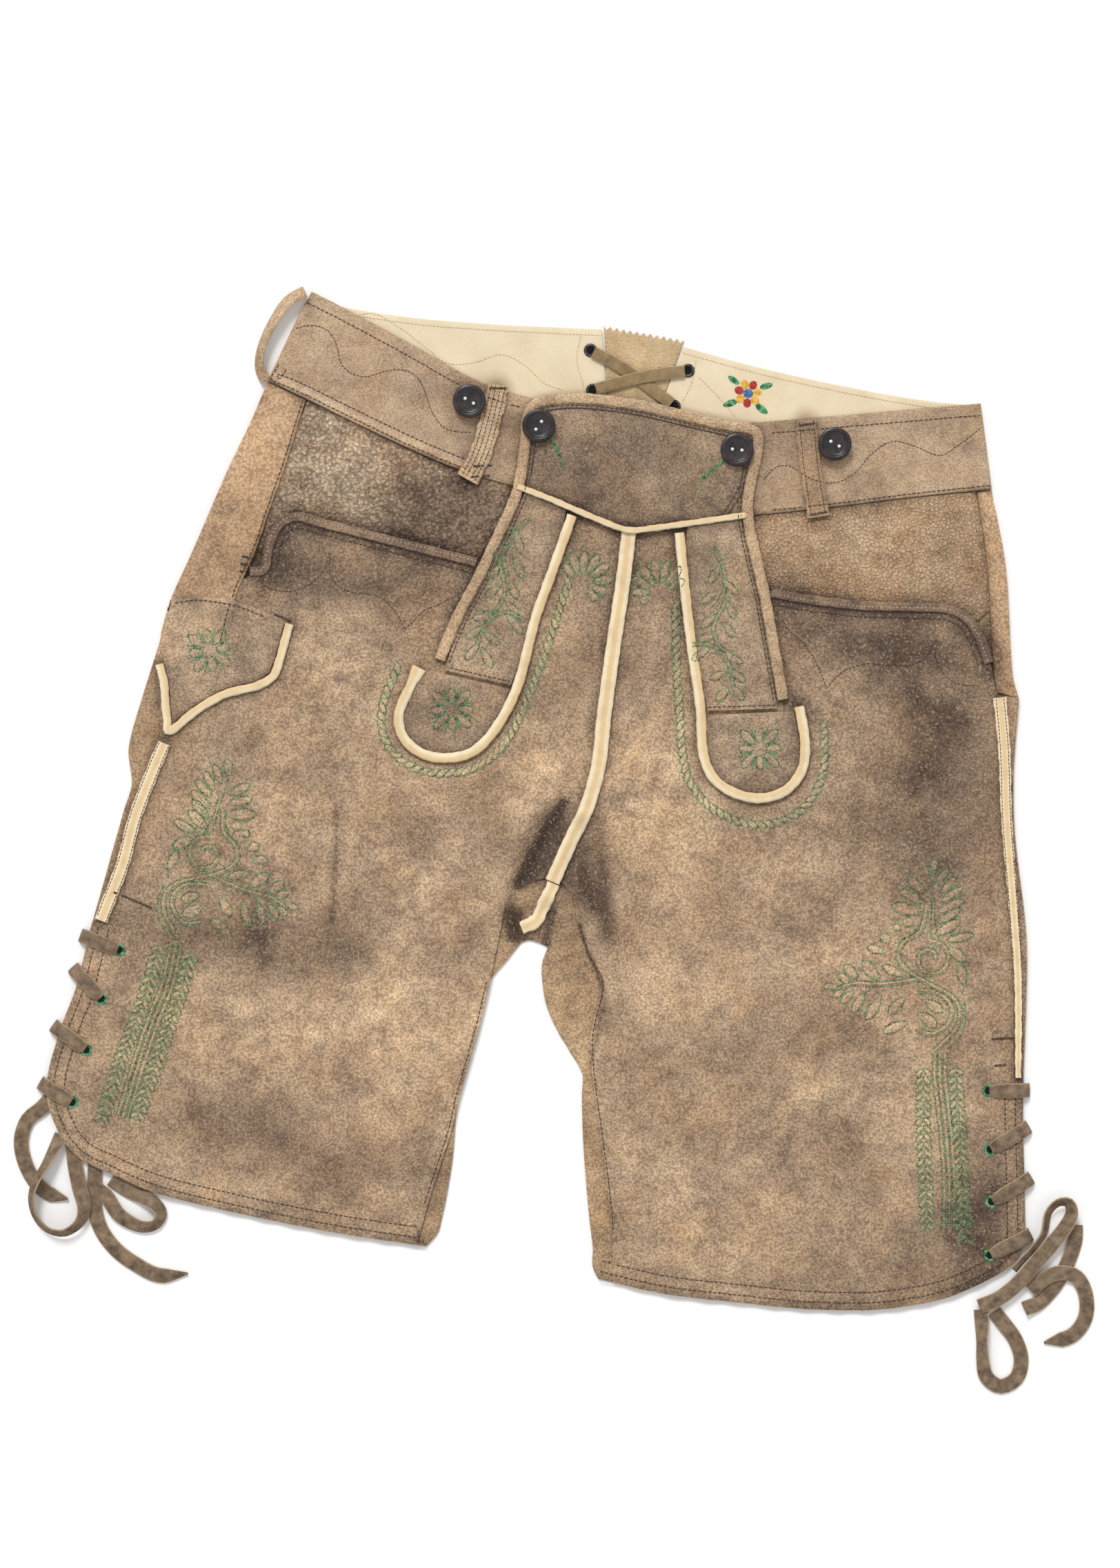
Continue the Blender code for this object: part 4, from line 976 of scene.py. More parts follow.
strip("flap_binding", "bindingLeather", 1.8, "rolled")
strip("flap_piping", "creamInner", 1.5, "rolled")
strip("strap_trim_left", "creamInner", 1.8, "rolled")
strip("strap_trim_right", "creamOuter", 1.8, "rolled")
strip("centre_strip", "creamCentre", 1.8, reach=(1.0, 2.8))
strip("crotch_strip", "creamCentre", 1.8, ragged=0.3, reach=(1.4, 0.8),
      lift=lambda places: backLift(places) + 0.3)
strip("side_strip_left", "creamCentre", 1.8, ragged=0.2)
strip("side_strip_right", "creamCentre", 1.8, ragged=0.2)
strip("pocket_flap_trim", "creamInner", 1.8, "rolled")
for side in ("left", "right"):
    # the welts use the darker leather that carries painted shadow of the facings
    strip("pocket_welt_" + side, "shadedWeltLeather", 1.0, "split", suffix="_band")
    strip("belt_loop_front_" + side, "bindingLeather", 2.2, "turned", ragged=0.3,
          suffix="_band", reach=(1.2, 1.2), tone=0.4 if side == "left" else -0.35, widen=0.6)
print("strips made")

sideLoop = [(-251, 302, 6.2, 30), (-261, 294, 5.6, 38), (-267.5, 281, 5.6, 46), (-272, 267, 5.6, 54),
            (-273.5, 255, 5.6, 56), (-271.5, 246, 5.6, 50), (-266.5, 240, 5.6, 40)]
loop, *_ = band("belt_loop_side_left_band", sideLoop, 10.0, 1.6, "bindingLeather", "band_leather", 3.0)
toneLayer(loop, np.full(len(loop.data.vertices), 0.35))
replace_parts(loop, "belt_loop_side_left")


# What lies on top is set down on the finished leather
def settled():
    # a search tree of all that is made so far, for heights
    points, faces = [], []
    for obj in bpy.context.scene.objects:
        if obj.type != "MESH" or not obj.name.endswith(("_leather", "_trim", "_band")):
            continue
        start = len(points)
        points += [v.co.copy() for v in obj.data.vertices]
        faces += [tuple(i + start for i in face.vertices) for face in obj.data.polygons]
    return BVHTree.FromPolygons(points, faces)


tree = settled()


def surfaceAt(x, y):
    # height in millimetres and the surface's direction, or None past the edge
    hit, normal, *_ = tree.ray_cast(framePoint((x, y, 60)), Vector((0, 0, -1)))
    if hit is None:
        return None
    if normal.z < 0:
        normal = -normal
    return hit.z / mm, normal


def pick(pieces):
    # only these are selected, and the first is active
    bpy.ops.object.select_all(action="DESELECT")
    for piece in pieces:
        piece.select_set(True)
    bpy.context.view_layer.objects.active = pieces[0]


def selectFaces(obj, test):
    bpy.ops.object.mode_set(mode="EDIT")
    bpy.ops.mesh.select_all(action="DESELECT")
    bpy.ops.object.mode_set(mode="OBJECT")
    for face in obj.data.polygons:
        face.select = test(face)
    bpy.ops.object.mode_set(mode="EDIT")


def madeByHand(obj):
    # the mesh of a piece modelled with operators, as arrays in metres
    verts = np.array([tuple(obj.matrix_world @ v.co) for v in obj.data.vertices])
    faces = [tuple(face.vertices) for face in obj.data.polygons]
    bpy.data.objects.remove(obj)
    return verts, faces


def stitchModel():
    # one stitch, a unit long and a unit wide: a bevelled bar
    bpy.ops.object.select_all(action="DESELECT")
    bpy.ops.mesh.primitive_cylinder_add(vertices=6, radius=0.5, depth=1.0, rotation=(0, math.pi / 2, 0))
    obj = bpy.context.object
    selectFaces(obj, lambda face: len(face.vertices) == 6)
    bpy.ops.mesh.bevel(offset=0.22, segments=1)
    bpy.ops.object.mode_set(mode="OBJECT")
    bpy.context.view_layer.update()
    return madeByHand(obj)


stitchVerts, stitchFaces = stitchModel()


def petalModel():
    # one petal, a unit long from its foot: a domed leaf
    bpy.ops.object.select_all(action="DESELECT")
    bpy.ops.mesh.primitive_cylinder_add(vertices=10, radius=0.5, depth=0.5, location=(0.5, 0, 0))
    obj = bpy.context.object
    selectFaces(obj, lambda face: face.normal.z > 0.9)
    bpy.ops.mesh.inset(thickness=0.16)
    bpy.ops.transform.translate(value=(0, 0, 0.28))
    bpy.ops.mesh.inset(thickness=0.18)
    bpy.ops.transform.translate(value=(0, 0, 0.14))
    bpy.ops.object.mode_set(mode="OBJECT")
    bpy.context.view_layer.update()
    return madeByHand(obj)


petalVerts, petalFaces = petalModel()


class Needlework:
    # many stitches or petals of one thread, joined in one piece
    def __init__(self):
        self.points, self.faces, self.count = [], [], 0

    def add(self, verts, faces, scale, along, up, place):
        side = up.cross(along).normalized()
        along = side.cross(up).normalized()
        basis = np.array([tuple(along), tuple(side), tuple(up)])
        self.points.append((verts * np.array(scale)) @ basis + np.array(place))
        self.faces += [tuple(i + self.count for i in face) for face in faces]
        self.count += len(verts)

    def stitch(self, a, b, width, above=0.12):
        # one stitch from place to place
        first, second = surfaceAt(*a), surfaceAt(*b)
        if first is None or second is None or abs(first[0] - second[0]) > 1.6:
            return
        start = Vector((*a, first[0] + above))
        end = Vector((*b, second[0] + above))
        up = (first[1] + second[1]).normalized()
        run = end - start
        if run.length < 0.2:
            return
        self.add(stitchVerts, stitchFaces, (run.length, width, width * 0.8), run.normalized(), up,
                 tuple((start + end) / 2))

    def row(self, line, length=2.6, gap=1.0, width=0.75, jitter=0.12, above=0.12):
        path = evenly(line, length + gap)
        for a, b in zip(path, path[1:]):
            share = length / (length + gap)
            slip = np.array((random.uniform(-jitter, jitter), random.uniform(-jitter, jitter)))
            self.stitch(tuple(a[:2] + slip), tuple(a[:2] + (b[:2] - a[:2]) * share + slip), width, above)

    def petal(self, foot, tip, width, tall=0.9):
        a, b = np.array(foot, float), np.array(tip, float)
        middle = surfaceAt(*((a + b) / 2))
        if middle is None:
            return
        run = Vector((*(b - a), 0))
        self.add(petalVerts, petalFaces, (run.length, width, tall), run.normalized(), middle[1],
                 (*a, middle[0] + 0.05))

    def finish(self, name, look, slot, angle=50, base=None):
        points = np.vstack(self.points)
        obj = meshObject(name, points, self.faces, look, angle)
        if base is not None:
            toneLayer(obj, toneAt(points[:, :2], base))


def outlined(foot, tip, width):
    # the stitched outline of a petal, as a closed line
    a, b = np.array(foot, float), np.array(tip, float)
    run = b - a
    side = np.array((-run[1], run[0])) / max(np.linalg.norm(run), 1e-6)
    half = width / 2 + 0.55
    shares = [0.0, 0.25, 0.58, 0.86, 1.04, 0.86, 0.58, 0.25, 0.0]
    widths = [0.1, 0.62, 1.0, 0.74, 0.0, -0.74, -1.0, -0.62, -0.1]
    return np.array([a + run * s + side * half * w for s, w in zip(shares, widths)])


thread = {"green": {"length": 1.35, "gap": 0.55, "width": 0.92, "jitter": 0.22, "above": 0.22},
          "seam": {"length": 2.5, "gap": 0.8, "width": 0.86, "jitter": 0.1},
          "fine": {"length": 1.9, "gap": 0.6, "width": 0.66, "jitter": 0.08}}


def flowerAt(petals, green, x, y, radius, count=8, turn=0.0, width=0.32):
    # petals of unequal reach round an open middle, with short rows between them
    for k in range(count):
        a = math.radians(turn) + 2 * math.pi * k / count
        way = heading(a)
        reach = radius * (1.0 if k % 2 else 0.82)
        foot, tip = np.array((x, y)) + way * radius * 0.24, np.array((x, y)) + way * reach
        petals.petal(foot, tip, radius * width * 0.75, 0.7)
        green.row(outlined(foot, tip, radius * width), **thread["green"])
        a += math.pi / count
        way = heading(a)
        middle = np.array((x, y))
        green.row(np.array([middle + way * radius * 0.35, middle + way * radius * 0.9]), **thread["green"])


def chainAt(petals, green, line, size, pitch, lean, flip, both):
    # a garland: petals that lean out from a line, one after another
    path = evenly(softLine(line, 2.0), pitch)
    for k in range(len(path) - 1):
        run = path[k + 1] - path[k]
        run = run / np.linalg.norm(run)
        sides = (1, -1) if both else (flip,)
        for hand in sides:
            a = math.radians(lean) * hand
            way = np.array((run[0] * math.cos(a) - run[1] * math.sin(a),
                            run[0] * math.sin(a) + run[1] * math.cos(a)))
            foot = path[k] - way * size[0] * (0.0 if both else 0.5)
            tip = foot + way * size[0]
            petals.petal(foot, tip, size[1] * 0.8, 0.7)
            green.row(outlined(foot, tip, size[1]), **thread["green"])


# One palmette, charted round its middle: petals as foot, tip and width, then its ribs and dotted lines
palmette = {
    "petals": [
        (6, 52, 3, 63, 5.6), (2, 46, -5, 58, 4.8), (-2, 41, -10, 52, 4.8), (-3, 36, -15, 46, 5.0),
        (-2, 29, -17, 38, 6.4), (-2, 22, -15, 32, 5.6), (-1, 14, -16, 25, 6.4), (-9, 11, -25, 17, 5.6),
        (-10, 7, -22, 0, 7.4), (-23, -16, -19, -3, 5.8), (9, 40, 20, 49, 6.4), (9, 34, 24, 40, 5.6),
        (9, 27, 28, 30, 7.6), (13, 20, 20, 21, 6.6), (21, 17, 26, 16, 4.8), (27, 6, 33, 11, 6.4),
        (30, 0, 41, 2, 5.4), (16, -14, 30, -9, 5.8), (32, -18, 43, -7, 7.6), (45, -19, 54, -11, 6.2),
        (50, -22, 58, -17, 4.8), (57, -25, 66, -26, 4.4), (14, -27, 23, -39, 6.2), (29, -28, 37, -44, 6.2),
        (40, -28, 46, -40, 5.8), (47, -27, 54, -35, 5.2), (53, -27, 60, -32, 4.4), (11, -43, 25, -51, 6.2),
        (1, -28, -11, -34, 6.4), (4, -36, -8, -44, 7.8),
    ],
    "ribs": [
        [(6, 30), (9, 15), (18, 8), (21, 0), (18, -7), (7, -14), (-5, -19), (-16, -24), (-22, -32),
         (-21, -43), (-14, -53), (-8, -60)],
        [(7, -15), (22, -19), (33, -21), (47, -22), (58, -27)],
        [(1, 10), (-7, 8), (-11, 1), (-9, -7), (-1, -11), (6, -8), (8, -1), (4, 4), (-2, 3), (-3, -2)],
        [(6, -22), (-4, -22), (-13, -26), (-17, -34), (-14, -43), (-5, -49), (5, -46)],
    ],
    "lines": [[(2, 12), (3, 30), (5, 44), (6, 52)], [(-4, 10), (0, 24), (2, 40)], [(-9, 14), (-16, 17)],
              [(10, 20), (14, 12), (24, 6)], [(-20, 0), (-24, -10), (-22, -22)], [(36, -24), (42, -30)],
              [(-24, -26), (-26, -36), (-24, -48), (-16, -58)]],
}
palmettes = {"left": {"at": (-251, -75), "turn": 0, "mirror": 1, "size": 1.0},
             "right": {"at": (234, -60), "turn": 4, "mirror": -1, "size": 1.04}}


def ribAt(petals, green, line, width=1.9, apart=1.7):
    # a padded rib between two dotted rows
    path = softLine(line, 2.0)
    petals.row(path, 4.0, 0.02, width, 0.0, 0.0)
    for offset in (-apart, apart):
        green.row(beside(path, offset), **thread["green"])


def petalAt(petals, green, foot, tip, width):
    # a padded petal, its dotted outline and a row down its middle when it is broad
    petals.petal(foot, tip, width * 0.8, 0.8)
    green.row(outlined(foot, tip, width), **thread["green"])
    if width > 5.2:
        foot, tip = np.array(foot, float), np.array(tip, float)
        green.row(np.array([foot + (tip - foot) * 0.1, foot + (tip - foot) * 0.72]), **thread["green"])


def palmetteAt(petals, green, at, turn, mirror, size):
    a = math.radians(turn)

    def put(x, y):
        x *= mirror
        return np.array((at[0] + size * (x * math.cos(a) - y * math.sin(a)),
                         at[1] + size * (x * math.sin(a) + y * math.cos(a))))

    for x1, y1, x2, y2, width in palmette["petals"]:
        petalAt(petals, green, put(x1, y1), put(x2, y2), width)
    for line in palmette["ribs"]:
        ribAt(petals, green, [put(x, y) for x, y in line])
    for line in palmette["lines"]:
        green.row(softLine([put(x, y) for x, y in line], 2.0), **thread["green"])


# Garlands as line, petal size, pitch, lean and side; fans as middle and rays of turn and reach
embroidery = {
    "front_left": {
        "chains": [
            ([(-46, 142), (-49, 122), (-52, 100), (-57, 74), (-62, 50), (-70, 28), (-84, 12), (-104, 4),
              (-124, 4), (-142, 13), (-151, 28), (-152, 46), (-146, 72)], (9.0, 3.8), 5.6, 32, 1, False),
            ([(-271, -142), (-273, -165), (-277, -190), (-282, -215), (-286, -240), (-289, -264)],
             (6.6, 2.8), 5.4, 46, 1, True),
            ([(-249, -143), (-251, -165), (-255, -190), (-259, -215), (-263, -240), (-266, -258)],
             (6.6, 2.8), 5.4, 46, 1, True),
        ],
        "fans": [(-37, 143, [(118, 22), (94, 22), (70, 23), (46, 23), (20, 22), (-8, 19), (142, 18),
                             (-36, 15)])],
        "stems": [[(-260, -138), (-261, -165), (-266, -190), (-270, -215), (-273, -240), (-275, -258)]],
    },
    "front_right": {
        "chains": [
            ([(27, 139), (31, 118), (36, 94), (42, 70), (48, 46), (57, 26), (74, 12), (98, 6), (122, 12),
              (137, 28), (142, 50), (136, 84)], (9.0, 3.8), 5.6, 32, -1, False),
            ([(242, -134), (246, -158), (251, -184), (257, -210), (263, -240)], (6.6, 2.8), 5.4, 46, 1, True),
            ([(263, -130), (268, -152), (274, -176), (280, -202), (286, -228), (289, -244)],
             (6.6, 2.8), 5.4, 46, 1, True),
        ],
        "fans": [(15, 146, [(62, 22), (86, 22), (110, 23), (134, 23), (160, 21), (188, 18), (38, 18),
                            (214, 14)])],
        "stems": [[(251, -122), (254, -139), (260, -159), (267, -184), (273, -210), (277, -236)]],
    },
}
for side, parts in embroidery.items():
    petals, green = Needlework(), Needlework()
    for line, size, pitch, lean, flip, both in parts["chains"]:
        chainAt(petals, green, line, size, pitch, lean, flip, both)
    for x, y, rays in parts["fans"]:
        for turn, reach in rays:
            a = math.radians(turn)
            way = heading(a)
            petalAt(petals, green, np.array((x, y)) + way * 7, np.array((x, y)) + way * reach, 5.6)
    for line in parts["stems"]:
        path = softLine(line, 3.0)
        for offset in (-3.4, 0.0, 3.4):
            ribAt(petals, green, beside(path, offset), 2.0, 1.55)
    palmetteAt(petals, green, **palmettes[side.split("_")[1]])
    petals.finish("petals_" + side, "suede", "suede", base=0.28)
    green.finish("embroidery_" + side, "greenThread", "suede")
print("front embroidery made")

# the straps' sprays, the tongues' flowers and the pocket flap's flower
sprays = {
    "left": {"ribs": [[(-78, 180), (-86, 170), (-91, 158), (-90, 148), (-86, 140)],
                      [(-95, 150), (-90, 140), (-86, 128), (-90, 116), (-98, 112)],
                      [(-70, 112), (-80, 116), (-90, 112), (-96, 102), (-98, 90)]],
             "petals": [(-86, 170, -80, 156, 5.0), (-88, 160, -98, 150, 4.8), (-84, 152, -76, 140, 5.0),
                        (-92, 146, -98, 136, 4.6), (-84, 136, -77, 126, 5.0), (-90, 132, -98, 124, 4.6),
                        (-84, 122, -74, 116, 4.6), (-82, 114, -70, 104, 4.6), (-90, 112, -104, 108, 4.8),
                        (-96, 104, -106, 94, 4.8), (-94, 100, -84, 94, 5.0), (-97, 92, -104, 80, 4.6),
                        (-95, 90, -86, 78, 5.2)]},
    "right": {"ribs": [[(44, 182), (52, 172), (57, 160), (56, 150), (52, 142)],
                       [(61, 152), (57, 142), (54, 130), (60, 118), (69, 114)],
                       [(42, 116), (52, 118), (62, 114), (70, 104), (74, 92)]],
              "petals": [(52, 172, 46, 158, 5.0), (54, 162, 66, 154, 4.8), (52, 154, 44, 144, 5.0),
                         (60, 148, 67, 138, 4.6), (54, 138, 46, 128, 5.0), (60, 134, 69, 126, 4.6),
                         (55, 124, 46, 120, 4.6), (54, 116, 44, 106, 4.6), (62, 114, 77, 110, 4.8),
                         (70, 104, 81, 98, 4.8), (67, 102, 58, 96, 5.0), (73, 94, 82, 86, 4.6),
                         (71, 92, 64, 82, 5.2)]},
}
flowers = [(-107, 46, 17, 8, 12), (98, 56, 17, 8, 12), (-272, 57, 17, 8, 20)]
petals, green = Needlework(), Needlework()
for spray in sprays.values():
    for line in spray["ribs"]:
        ribAt(petals, green, line, 1.4, 1.3)
    for x1, y1, x2, y2, width in spray["petals"]:
        petalAt(petals, green, (x1, y1), (x2, y2), width)
for x, y, radius, count, turn in flowers:
    flowerAt(petals, green, x, y, radius, count, turn)
petals.finish("petals_flap", "overlayLeather", "overlay_leather", base=0.45)
green.finish("embroidery_flap", "greenThread", "overlay_leather")
print("flap embroidery made")


def insetEdge(node, start, end, offset):
    return beside(edgeOf(node, start, end), offset)


dark, fine = Needlework(), Needlework()
seamRows = [   # the leather's edge as node, from, to (anticlockwise), and how far inside it the rows lie
    ("front_panel_left", (-318, -136), (-68, -306), (5.0, 12.0)),
    ("front_panel_right", (54, -309), (309, -131), (5.0, 12.0)),
    ("waistband_front_left", (-95, 258), (-247, 303), (8.0,)),
    ("waistband_front_right", (203, 307), (66, 271), (8.0,)),
    ("waistband_front_left", (-262, 246), (-120, 202), (2.2, 8.0)),
    ("waistband_front_right", (80, 211), (220, 252), (2.2,)),
    ("front_panel_left", (-108, 146), (-247, 116), (5.0, 8.5)),
    ("front_panel_right", (239, 139), (88, 160), (5.0, 8.5)),
    ("side_panel_left", (-264, 64), (-238, 231), (2.0,)),
    ("front_panel_left", (-66, -280), (-51, -127), (2.2,)),
    ("front_panel_right", (0, -80), (57, -276), (1.2,)),
    ("pocket_flap", (-240, 88), (-300, 86), (3.0,)),
    ("fall_flap", (60, 208), (-88, 202), (3.0,)),
    ("strap_left", (-115, 73), (-73, 71), (2.4,)),
    ("strap_right", (62, 76), (103, 86), (2.4,)),
]
for node, start, end, offsets in seamRows:
    for offset in offsets:
        dark.row(insetEdge(node, start, end, offset), **thread["seam"])

# beside the rolled binding, and along both edges of the cream strips
for node, offsets, work in (("flap_binding", (4.6, 6.4), dark), ("side_strip_left", (3.4, -3.4), fine),
                            ("side_strip_right", (2.6, -2.6), fine),
                            ("belt_loop_front_left", (4.6, 1.6, -1.6, -4.6), fine),
                            ("belt_loop_front_right", (4.6, -4.6), fine)):
    middle, half = spineOf(node)
    sign = -1 if node == "flap_binding" else 1
    for offset in offsets:
        line = beside(softLine(middle[:, :2], 3.0), offset * sign)
        work.row(line, **thread["seam" if sign < 0 else "fine"])

ornaments = [   # wavy rows on the waistband and the scalloped rows under the pockets
    [(-253, 277), (-246, 280), (-238, 281), (-230, 278), (-224, 270), (-220, 260), (-214, 255), (-207, 253),
     (-200, 254), (-190, 259), (-180, 262), (-172, 261), (-165, 256), (-160, 248), (-155, 239), (-148, 231),
     (-140, 228), (-126, 229)],
    [(70, 232), (76, 241), (85, 244), (100, 238), (116, 238), (128, 246), (138, 262), (150, 272), (166, 271),
     (182, 268), (192, 276), (206, 291)],
    [(-249, 108), (-238, 104), (-225, 105), (-214, 112), (-207, 121), (-205, 135)],
    [(-204, 134), (-203, 122), (-196, 114), (-186, 111), (-174, 112), (-164, 110), (-154, 102), (-147, 93)],
    [(-147, 93), (-142, 100), (-137, 107), (-128, 113), (-117, 121)],
    [(98, 143), (104, 136), (112, 132), (124, 120), (135, 103)],
    [(135, 103), (139, 110), (145, 117), (152, 121), (159, 124), (172, 125), (185, 127), (192, 131),
     (197, 136), (201, 148)],
    [(202, 147), (202, 137), (206, 130), (211, 125), (220, 121), (232, 122)],
]
for line in ornaments:
    fine.row(softLine(line, 2.0), **thread["fine"])

barTacks = [   # short thick runs that lock a seam: from, to
    ((-307, -112), (-280, -118)), ((283, -107), (300, -103)), ((-303, -121), (-306, -120)),
    ((-262, 117), (-255, 117)), ((-262, 112), (-255, 112)), ((-262, 122), (-255, 122)),
    ((-121, 200), (-109, 203)), ((-121, 207), (-109, 210)), ((104, 214), (115, 218)),
    ((-108, 262), (-120, 260)), ((86, 271), (98, 275)), ((-234, 88), (-222, 85)),
    ((-304, 88), (-304, 78)), ((288, -124), (296, -122)),
]
for a, b in barTacks:
    line = np.array([a, b], float)
    for slip in (-0.4, 0.4):
        dark.row(beside(line, slip), 2.4, 0.1, 0.8, 0.1)
dark.finish("seam_stitching", "darkThread", "suede", 60)
fine.finish("ornament_stitching", "darkThread", "suede", 60)
print("seams made")

pale = Needlework()
for side in ("left", "right"):
    middle, half = spineOf("pocket_welt_" + side)
    pale.row(beside(softLine(middle[:, :2], 2.0), -0.6), 1.0, 1.7, 0.7, 0.15)
for node, start, end, offset in (
        ("waistband_back_left", (-60, 312), (-240, 299), 4.0),
        ("waistband_back_right", (190, 305), (6, 310), 4.0)):
    pale.row(insetEdge(node, start, end, offset), **thread["fine"])
for line in ([(-225, 288), (-205, 296), (-186, 290), (-166, 280), (-150, 272), (-132, 276), (-116, 284),
              (-100, 280), (-84, 270), (-72, 268)],
             [(-66, 306), (-66, 290), (-60, 276), (-54, 262)], [(12, 304), (12, 288), (8, 274), (2, 260)],
             [(16, 292), (30, 282), (40, 274), (44, 270)]):
    pale.row(softLine(line, 2.0), **thread["fine"])
pale.finish("lining_stitching", "creamThread", "lining_cream", 60)

eyeletSet = {"radius": 4.3, "hole": 3.0, "stitches": 26}
legEyelets = {"left": [(-297, -149, -324, -144), (-303, -183, -325.5, -166), (-307, -218, -331.5, -206),
                       (-310, -254, -333.5, -245)],
              "right": [(287, -141, 314, -136), (295, -179, 318, -160), (302, -213, 325.5, -193),
                        (307, -248, 331.5, -230)]}


# a dark disc laid on the surface: painted shadow standing in for an open hole
def discAt(name, x, y, radius, look, above=0.15):
    height, _ = surfaceAt(x, y)
    bpy.ops.object.select_all(action="DESELECT")
    bpy.ops.mesh.primitive_cylinder_add(vertices=20, radius=radius * mm, depth=0.3 * mm,
                                        location=framePoint((x, y, height + above)))
    return placed(name, look)


def placed(name, look, angle=40):
    # ends a piece modelled with operators: its place goes into its mesh
    obj = bpy.context.object
    obj.name = name
    bpy.ops.object.transform_apply(location=True, rotation=True, scale=True)
    obj.data.materials.clear()
    obj.data.materials.append(looks[look])
    bpy.ops.object.shade_smooth_by_angle(angle=math.radians(angle))
    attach(obj, "root")
    return obj


def joinedPieces(name, pieces, look, angle=40):
    pick(pieces)
    bpy.ops.object.join()
    return placed(name, look, angle)


# each leg eyelet: a dark disc of painted shadow for its hole, and a ring of green stitches
ringWork, holes = Needlework(), []
for side, places in legEyelets.items():
    for number, (x, y, *_) in enumerate(places, 1):
        holes.append(discAt(f"hole_{side}_{number}", x, y, eyeletSet["hole"], "hole"))
        for k in range(eyeletSet["stitches"]):
            a = 2 * math.pi * k / eyeletSet["stitches"]
            way = heading(a)
            ringWork.stitch(tuple(np.array((x, y)) + way * (eyeletSet["hole"] - 0.5)),
                            tuple(np.array((x, y)) + way * (eyeletSet["radius"] + random.uniform(-0.3, 0.4))),
                            0.85, 0.25)
joinedPieces("leg_eyelet_holes", holes, "hole")
ringWork.finish("leg_eyelet_binding", "eyeletThread", "suede", 60)

for side, places in legEyelets.items():
    for number, (x, y, endX, endY) in enumerate(places, 1):
        out = Vector((endX - x, endY - y)).normalized()
        edge = Vector((endX, endY)) - out * 2.4
        top = surfaceAt(x, y)[0] + 0.35
        middle = Vector((x, y)) + (edge - Vector((x, y))) * 0.5
        midTop = (surfaceAt(*middle) or (top, None))[0] + 1.35
        rim = edge - out * 5.0
        rimTop = (surfaceAt(*rim) or (top, None))[0] + 1.2
        start = Vector((x, y)) + out * 0.8
        route = [(*start, top, 0), (*(start + out * 4.5), (top + midTop) / 2 + 0.8, 4), (*middle, midTop, 0),
                 (*rim, rimTop, 0), (*(edge + out * 0.4), rimTop - 1.6, 0),
                 (*(edge + out * 2.2), rimTop - 4.0, 0)]
        obj, *_ = band(f"leg_lace_{side}_{number}_suede", route, 9.6, 1.4, "lace", "lace_leather", 2.4,
                       ends=lambda t: 0.62 + 0.38 * min(1.0, t * 4.5), ragged=0.03)
        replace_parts(obj, f"leg_lace_{side}_{number}")

for name, x, y in (("upper_left", -58, 297), ("upper_right", 8, 295), ("lower_left", -52, 271),
                   ("lower_right", 3, 270)):
    height = surfaceAt(x, y)[0]
    bpy.ops.object.select_all(action="DESELECT")
    bpy.ops.mesh.primitive_torus_add(major_radius=3.5 * mm, minor_radius=1.0 * mm, major_segments=28,
                                     minor_segments=10, location=framePoint((x, y, height + 0.5)))
    bpy.ops.transform.resize(value=(1, 1, 0.7))
    ring = placed("back_eyelet_" + name + "_ring", "metal")
    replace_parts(ring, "back_eyelet_" + name)
    # a dark disc of painted shadow for the eyelet's hole
    discAt("back_eyelet_" + name + "_hole", x, y, 2.7, "hole", 0.1)
low = 3.45      # the laces' height over the gusset
backLaces = {
    "back_lace_under": [(-56, 296, low, 0), (-40, 291, low + 0.6, 6), (-24, 284, low, 0), (-8, 276, low, -6),
                        (1, 271.5, low, 0)],
    "back_lace_over": [(6, 294, low, 0), (-8, 290, low + 0.8, 5), (-24, 284, low + 1.5, 0),
                       (-40, 277, low + 0.5, -6), (-50, 272, low, 0)],
}
for node, route in backLaces.items():
    obj, *_ = band(node + "_suede", route, 8.0, 0.9, "backLace", "lace_leather", 2.5, ragged=0.02)
    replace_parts(obj, node)
print("eyelets and laces made")

buttonSet = {"radius": 11.0, "height": 4.6, "rim": 2.4, "holeRadius": 1.25, "holeApart": 6.4}
buttons = {"button_waist_left": -20, "button_flap_left": 64, "button_flap_right": 4,
           "button_waist_right": -20}      # how far each is turned, in degrees


def cutInto(obj, cutter):
    modifier = obj.modifiers.new("cut", "BOOLEAN")
    modifier.object = cutter
    modifier.operation = "DIFFERENCE"
    pick([obj])
    bpy.ops.object.modifier_apply(modifier="cut")
    bpy.data.objects.remove(cutter)


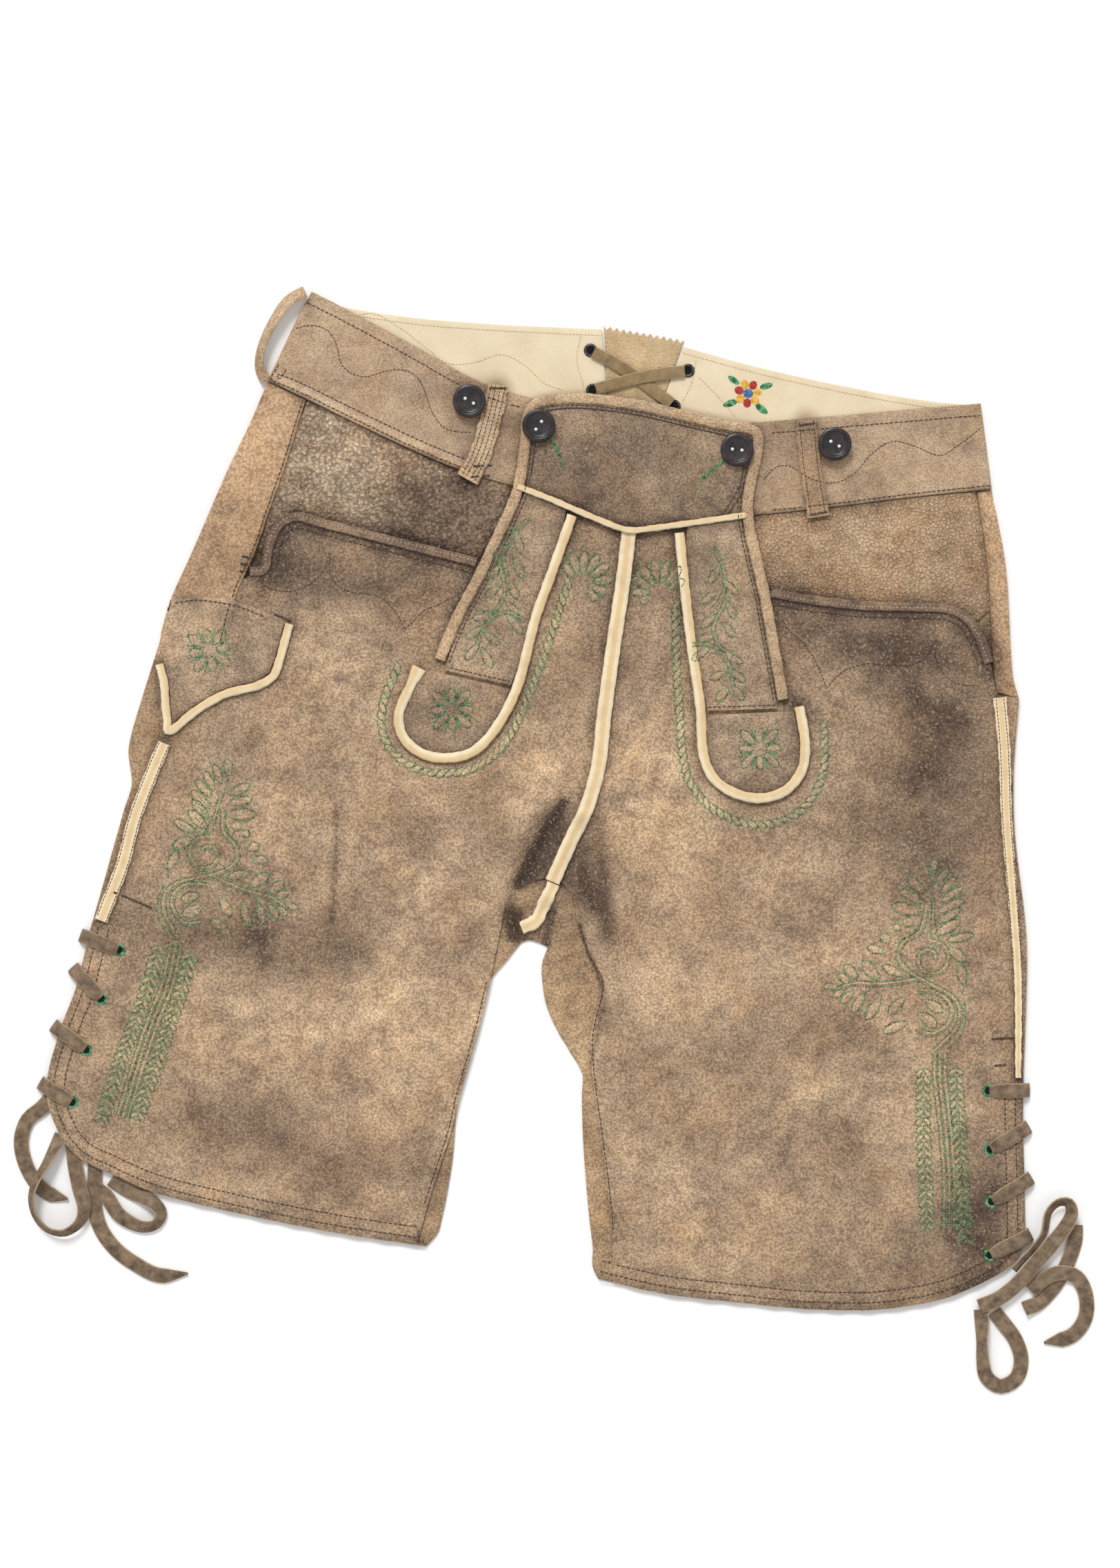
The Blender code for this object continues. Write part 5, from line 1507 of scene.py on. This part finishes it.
def buttonAt(node, turn):
    low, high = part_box(node)
    x, y = (low.x + high.x) / 2, (low.y + high.y) / 2
    foot, radius, height = low.z, buttonSet["radius"] * mm, buttonSet["height"] * mm
    bpy.ops.object.select_all(action="DESELECT")
    bpy.ops.mesh.primitive_cylinder_add(vertices=56, radius=radius, depth=height,
                                        location=(x, y, foot + height / 2))
    obj = bpy.context.object
    bpy.ops.object.transform_apply(location=True)
    selectFaces(obj, lambda face: face.normal.z > 0.9 and face.area > (2 * mm) ** 2)
    bpy.ops.mesh.inset(thickness=1.2 * mm)
    bpy.ops.transform.translate(value=(0, 0, 0.5 * mm))
    bpy.ops.mesh.inset(thickness=1.3 * mm)
    bpy.ops.mesh.inset(thickness=0.9 * mm)
    bpy.ops.transform.translate(value=(0, 0, -1.1 * mm))
    bpy.ops.mesh.inset(thickness=2.0 * mm)
    bpy.ops.transform.translate(value=(0, 0, -0.25 * mm))
    bpy.ops.object.mode_set(mode="OBJECT")
    selectFaces(obj, lambda face: face.normal.z < -0.9)
    bpy.ops.mesh.inset(thickness=1.6 * mm)
    bpy.ops.object.mode_set(mode="OBJECT")
    bevel = obj.modifiers.new("round", "BEVEL")
    bevel.width, bevel.segments, bevel.limit_method = 0.55 * mm, 3, "ANGLE"
    bpy.ops.object.modifier_apply(modifier="round")
    dish = foot + height - 0.85 * mm
    a = math.radians(turn)
    bpy.ops.mesh.primitive_cylinder_add(vertices=40, radius=5.4 * mm, depth=1.2 * mm,
                                        location=(x, y, dish + 0.35 * mm), rotation=(0, 0, a))
    oval = bpy.context.object
    oval.scale = (1.0, 0.5, 1.0)
    bpy.ops.object.transform_apply(location=True, rotation=True, scale=True)
    cutInto(obj, oval)
    whites = []
    for hand in (-1, 1):
        px = x + math.cos(a) * hand * buttonSet["holeApart"] / 2 * mm
        py = y + math.sin(a) * hand * buttonSet["holeApart"] / 2 * mm
        bpy.ops.mesh.primitive_cylinder_add(vertices=16, radius=buttonSet["holeRadius"] * mm, depth=3 * mm,
                                            location=(px, py, dish))
        cutInto(obj, bpy.context.object)
        bpy.ops.object.select_all(action="DESELECT")
        bpy.ops.mesh.primitive_uv_sphere_add(segments=14, ring_count=8, radius=1.15 * mm,
                                             location=(px, py, dish - 0.35 * mm))
        whites.append(bpy.context.object)
    pick([obj])
    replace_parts(placed(node + "_turned", "horn", 35), node)
    joinedPieces(node + "_thread", whites, "whiteThread")


for node, turn in buttons.items():
    buttonAt(node, turn)
print("buttons made")

# green buttonholes that show past the flap's two buttons
green = Needlework()
for line in ([(-76, 236), (-72, 232), (-68, 227), (-65, 222)], [(42, 240), (37, 234), (33, 229), (28, 224)]):
    path = evenly(softLine(line, 1.0), 0.8)
    for a, b in zip(path, path[1:]):
        side = beside(np.array([a, b]), 1.2)[0] - a
        green.stitch(tuple(a - side), tuple(a + side), 0.7, 0.2)
    tail = softLine([path[-1], path[-1] + (2.5, -3.5), path[-1] + (1.5, -8)], 1.0)
    green.row(tail, 2.2, 0.1, 0.6, 0.0)
green.finish("buttonhole_stitching", "greenThread", "overlay_leather", 60)

# a plain flower on the lining
flower = {"at": (50, 287), "petals": 7, "radius": 9.5}
gold, red, blue, leaves = Needlework(), Needlework(), Needlework(), Needlework()
for k in range(flower["petals"]):
    a = 2 * math.pi * k / flower["petals"] + 0.3
    way = heading(a)
    centre = np.array(flower["at"])
    (gold, red)[k % 2].petal(centre + way * 3.2, centre + way * flower["radius"], 5.4, 0.5)
blue.petal((46.6, 287), (53.4, 287), 6.4, 0.8)
for hand in (-1, 1):
    leaves.petal((50 + hand * 6, 281), (50 + hand * 15, 276), 4.6, 0.5)
    leaves.petal((50 + hand * 7, 292), (50 + hand * 15, 296), 4.0, 0.5)
for work, look, name in ((gold, "goldThread", "gold"), (red, "redThread", "red"),
                         (blue, "blueThread", "blue"),
                         (leaves, "greenThread", "leaves")):
    work.finish("lining_flower_" + name, look, "lining_cream")
print("lining flower made")

for node, size in sheetSizes.items():
    print("sheet", node, size)
triangles = 0
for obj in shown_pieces():
    obj.data.calc_loop_triangles()
    triangles += len(obj.data.loop_triangles)
print("triangles", triangles)
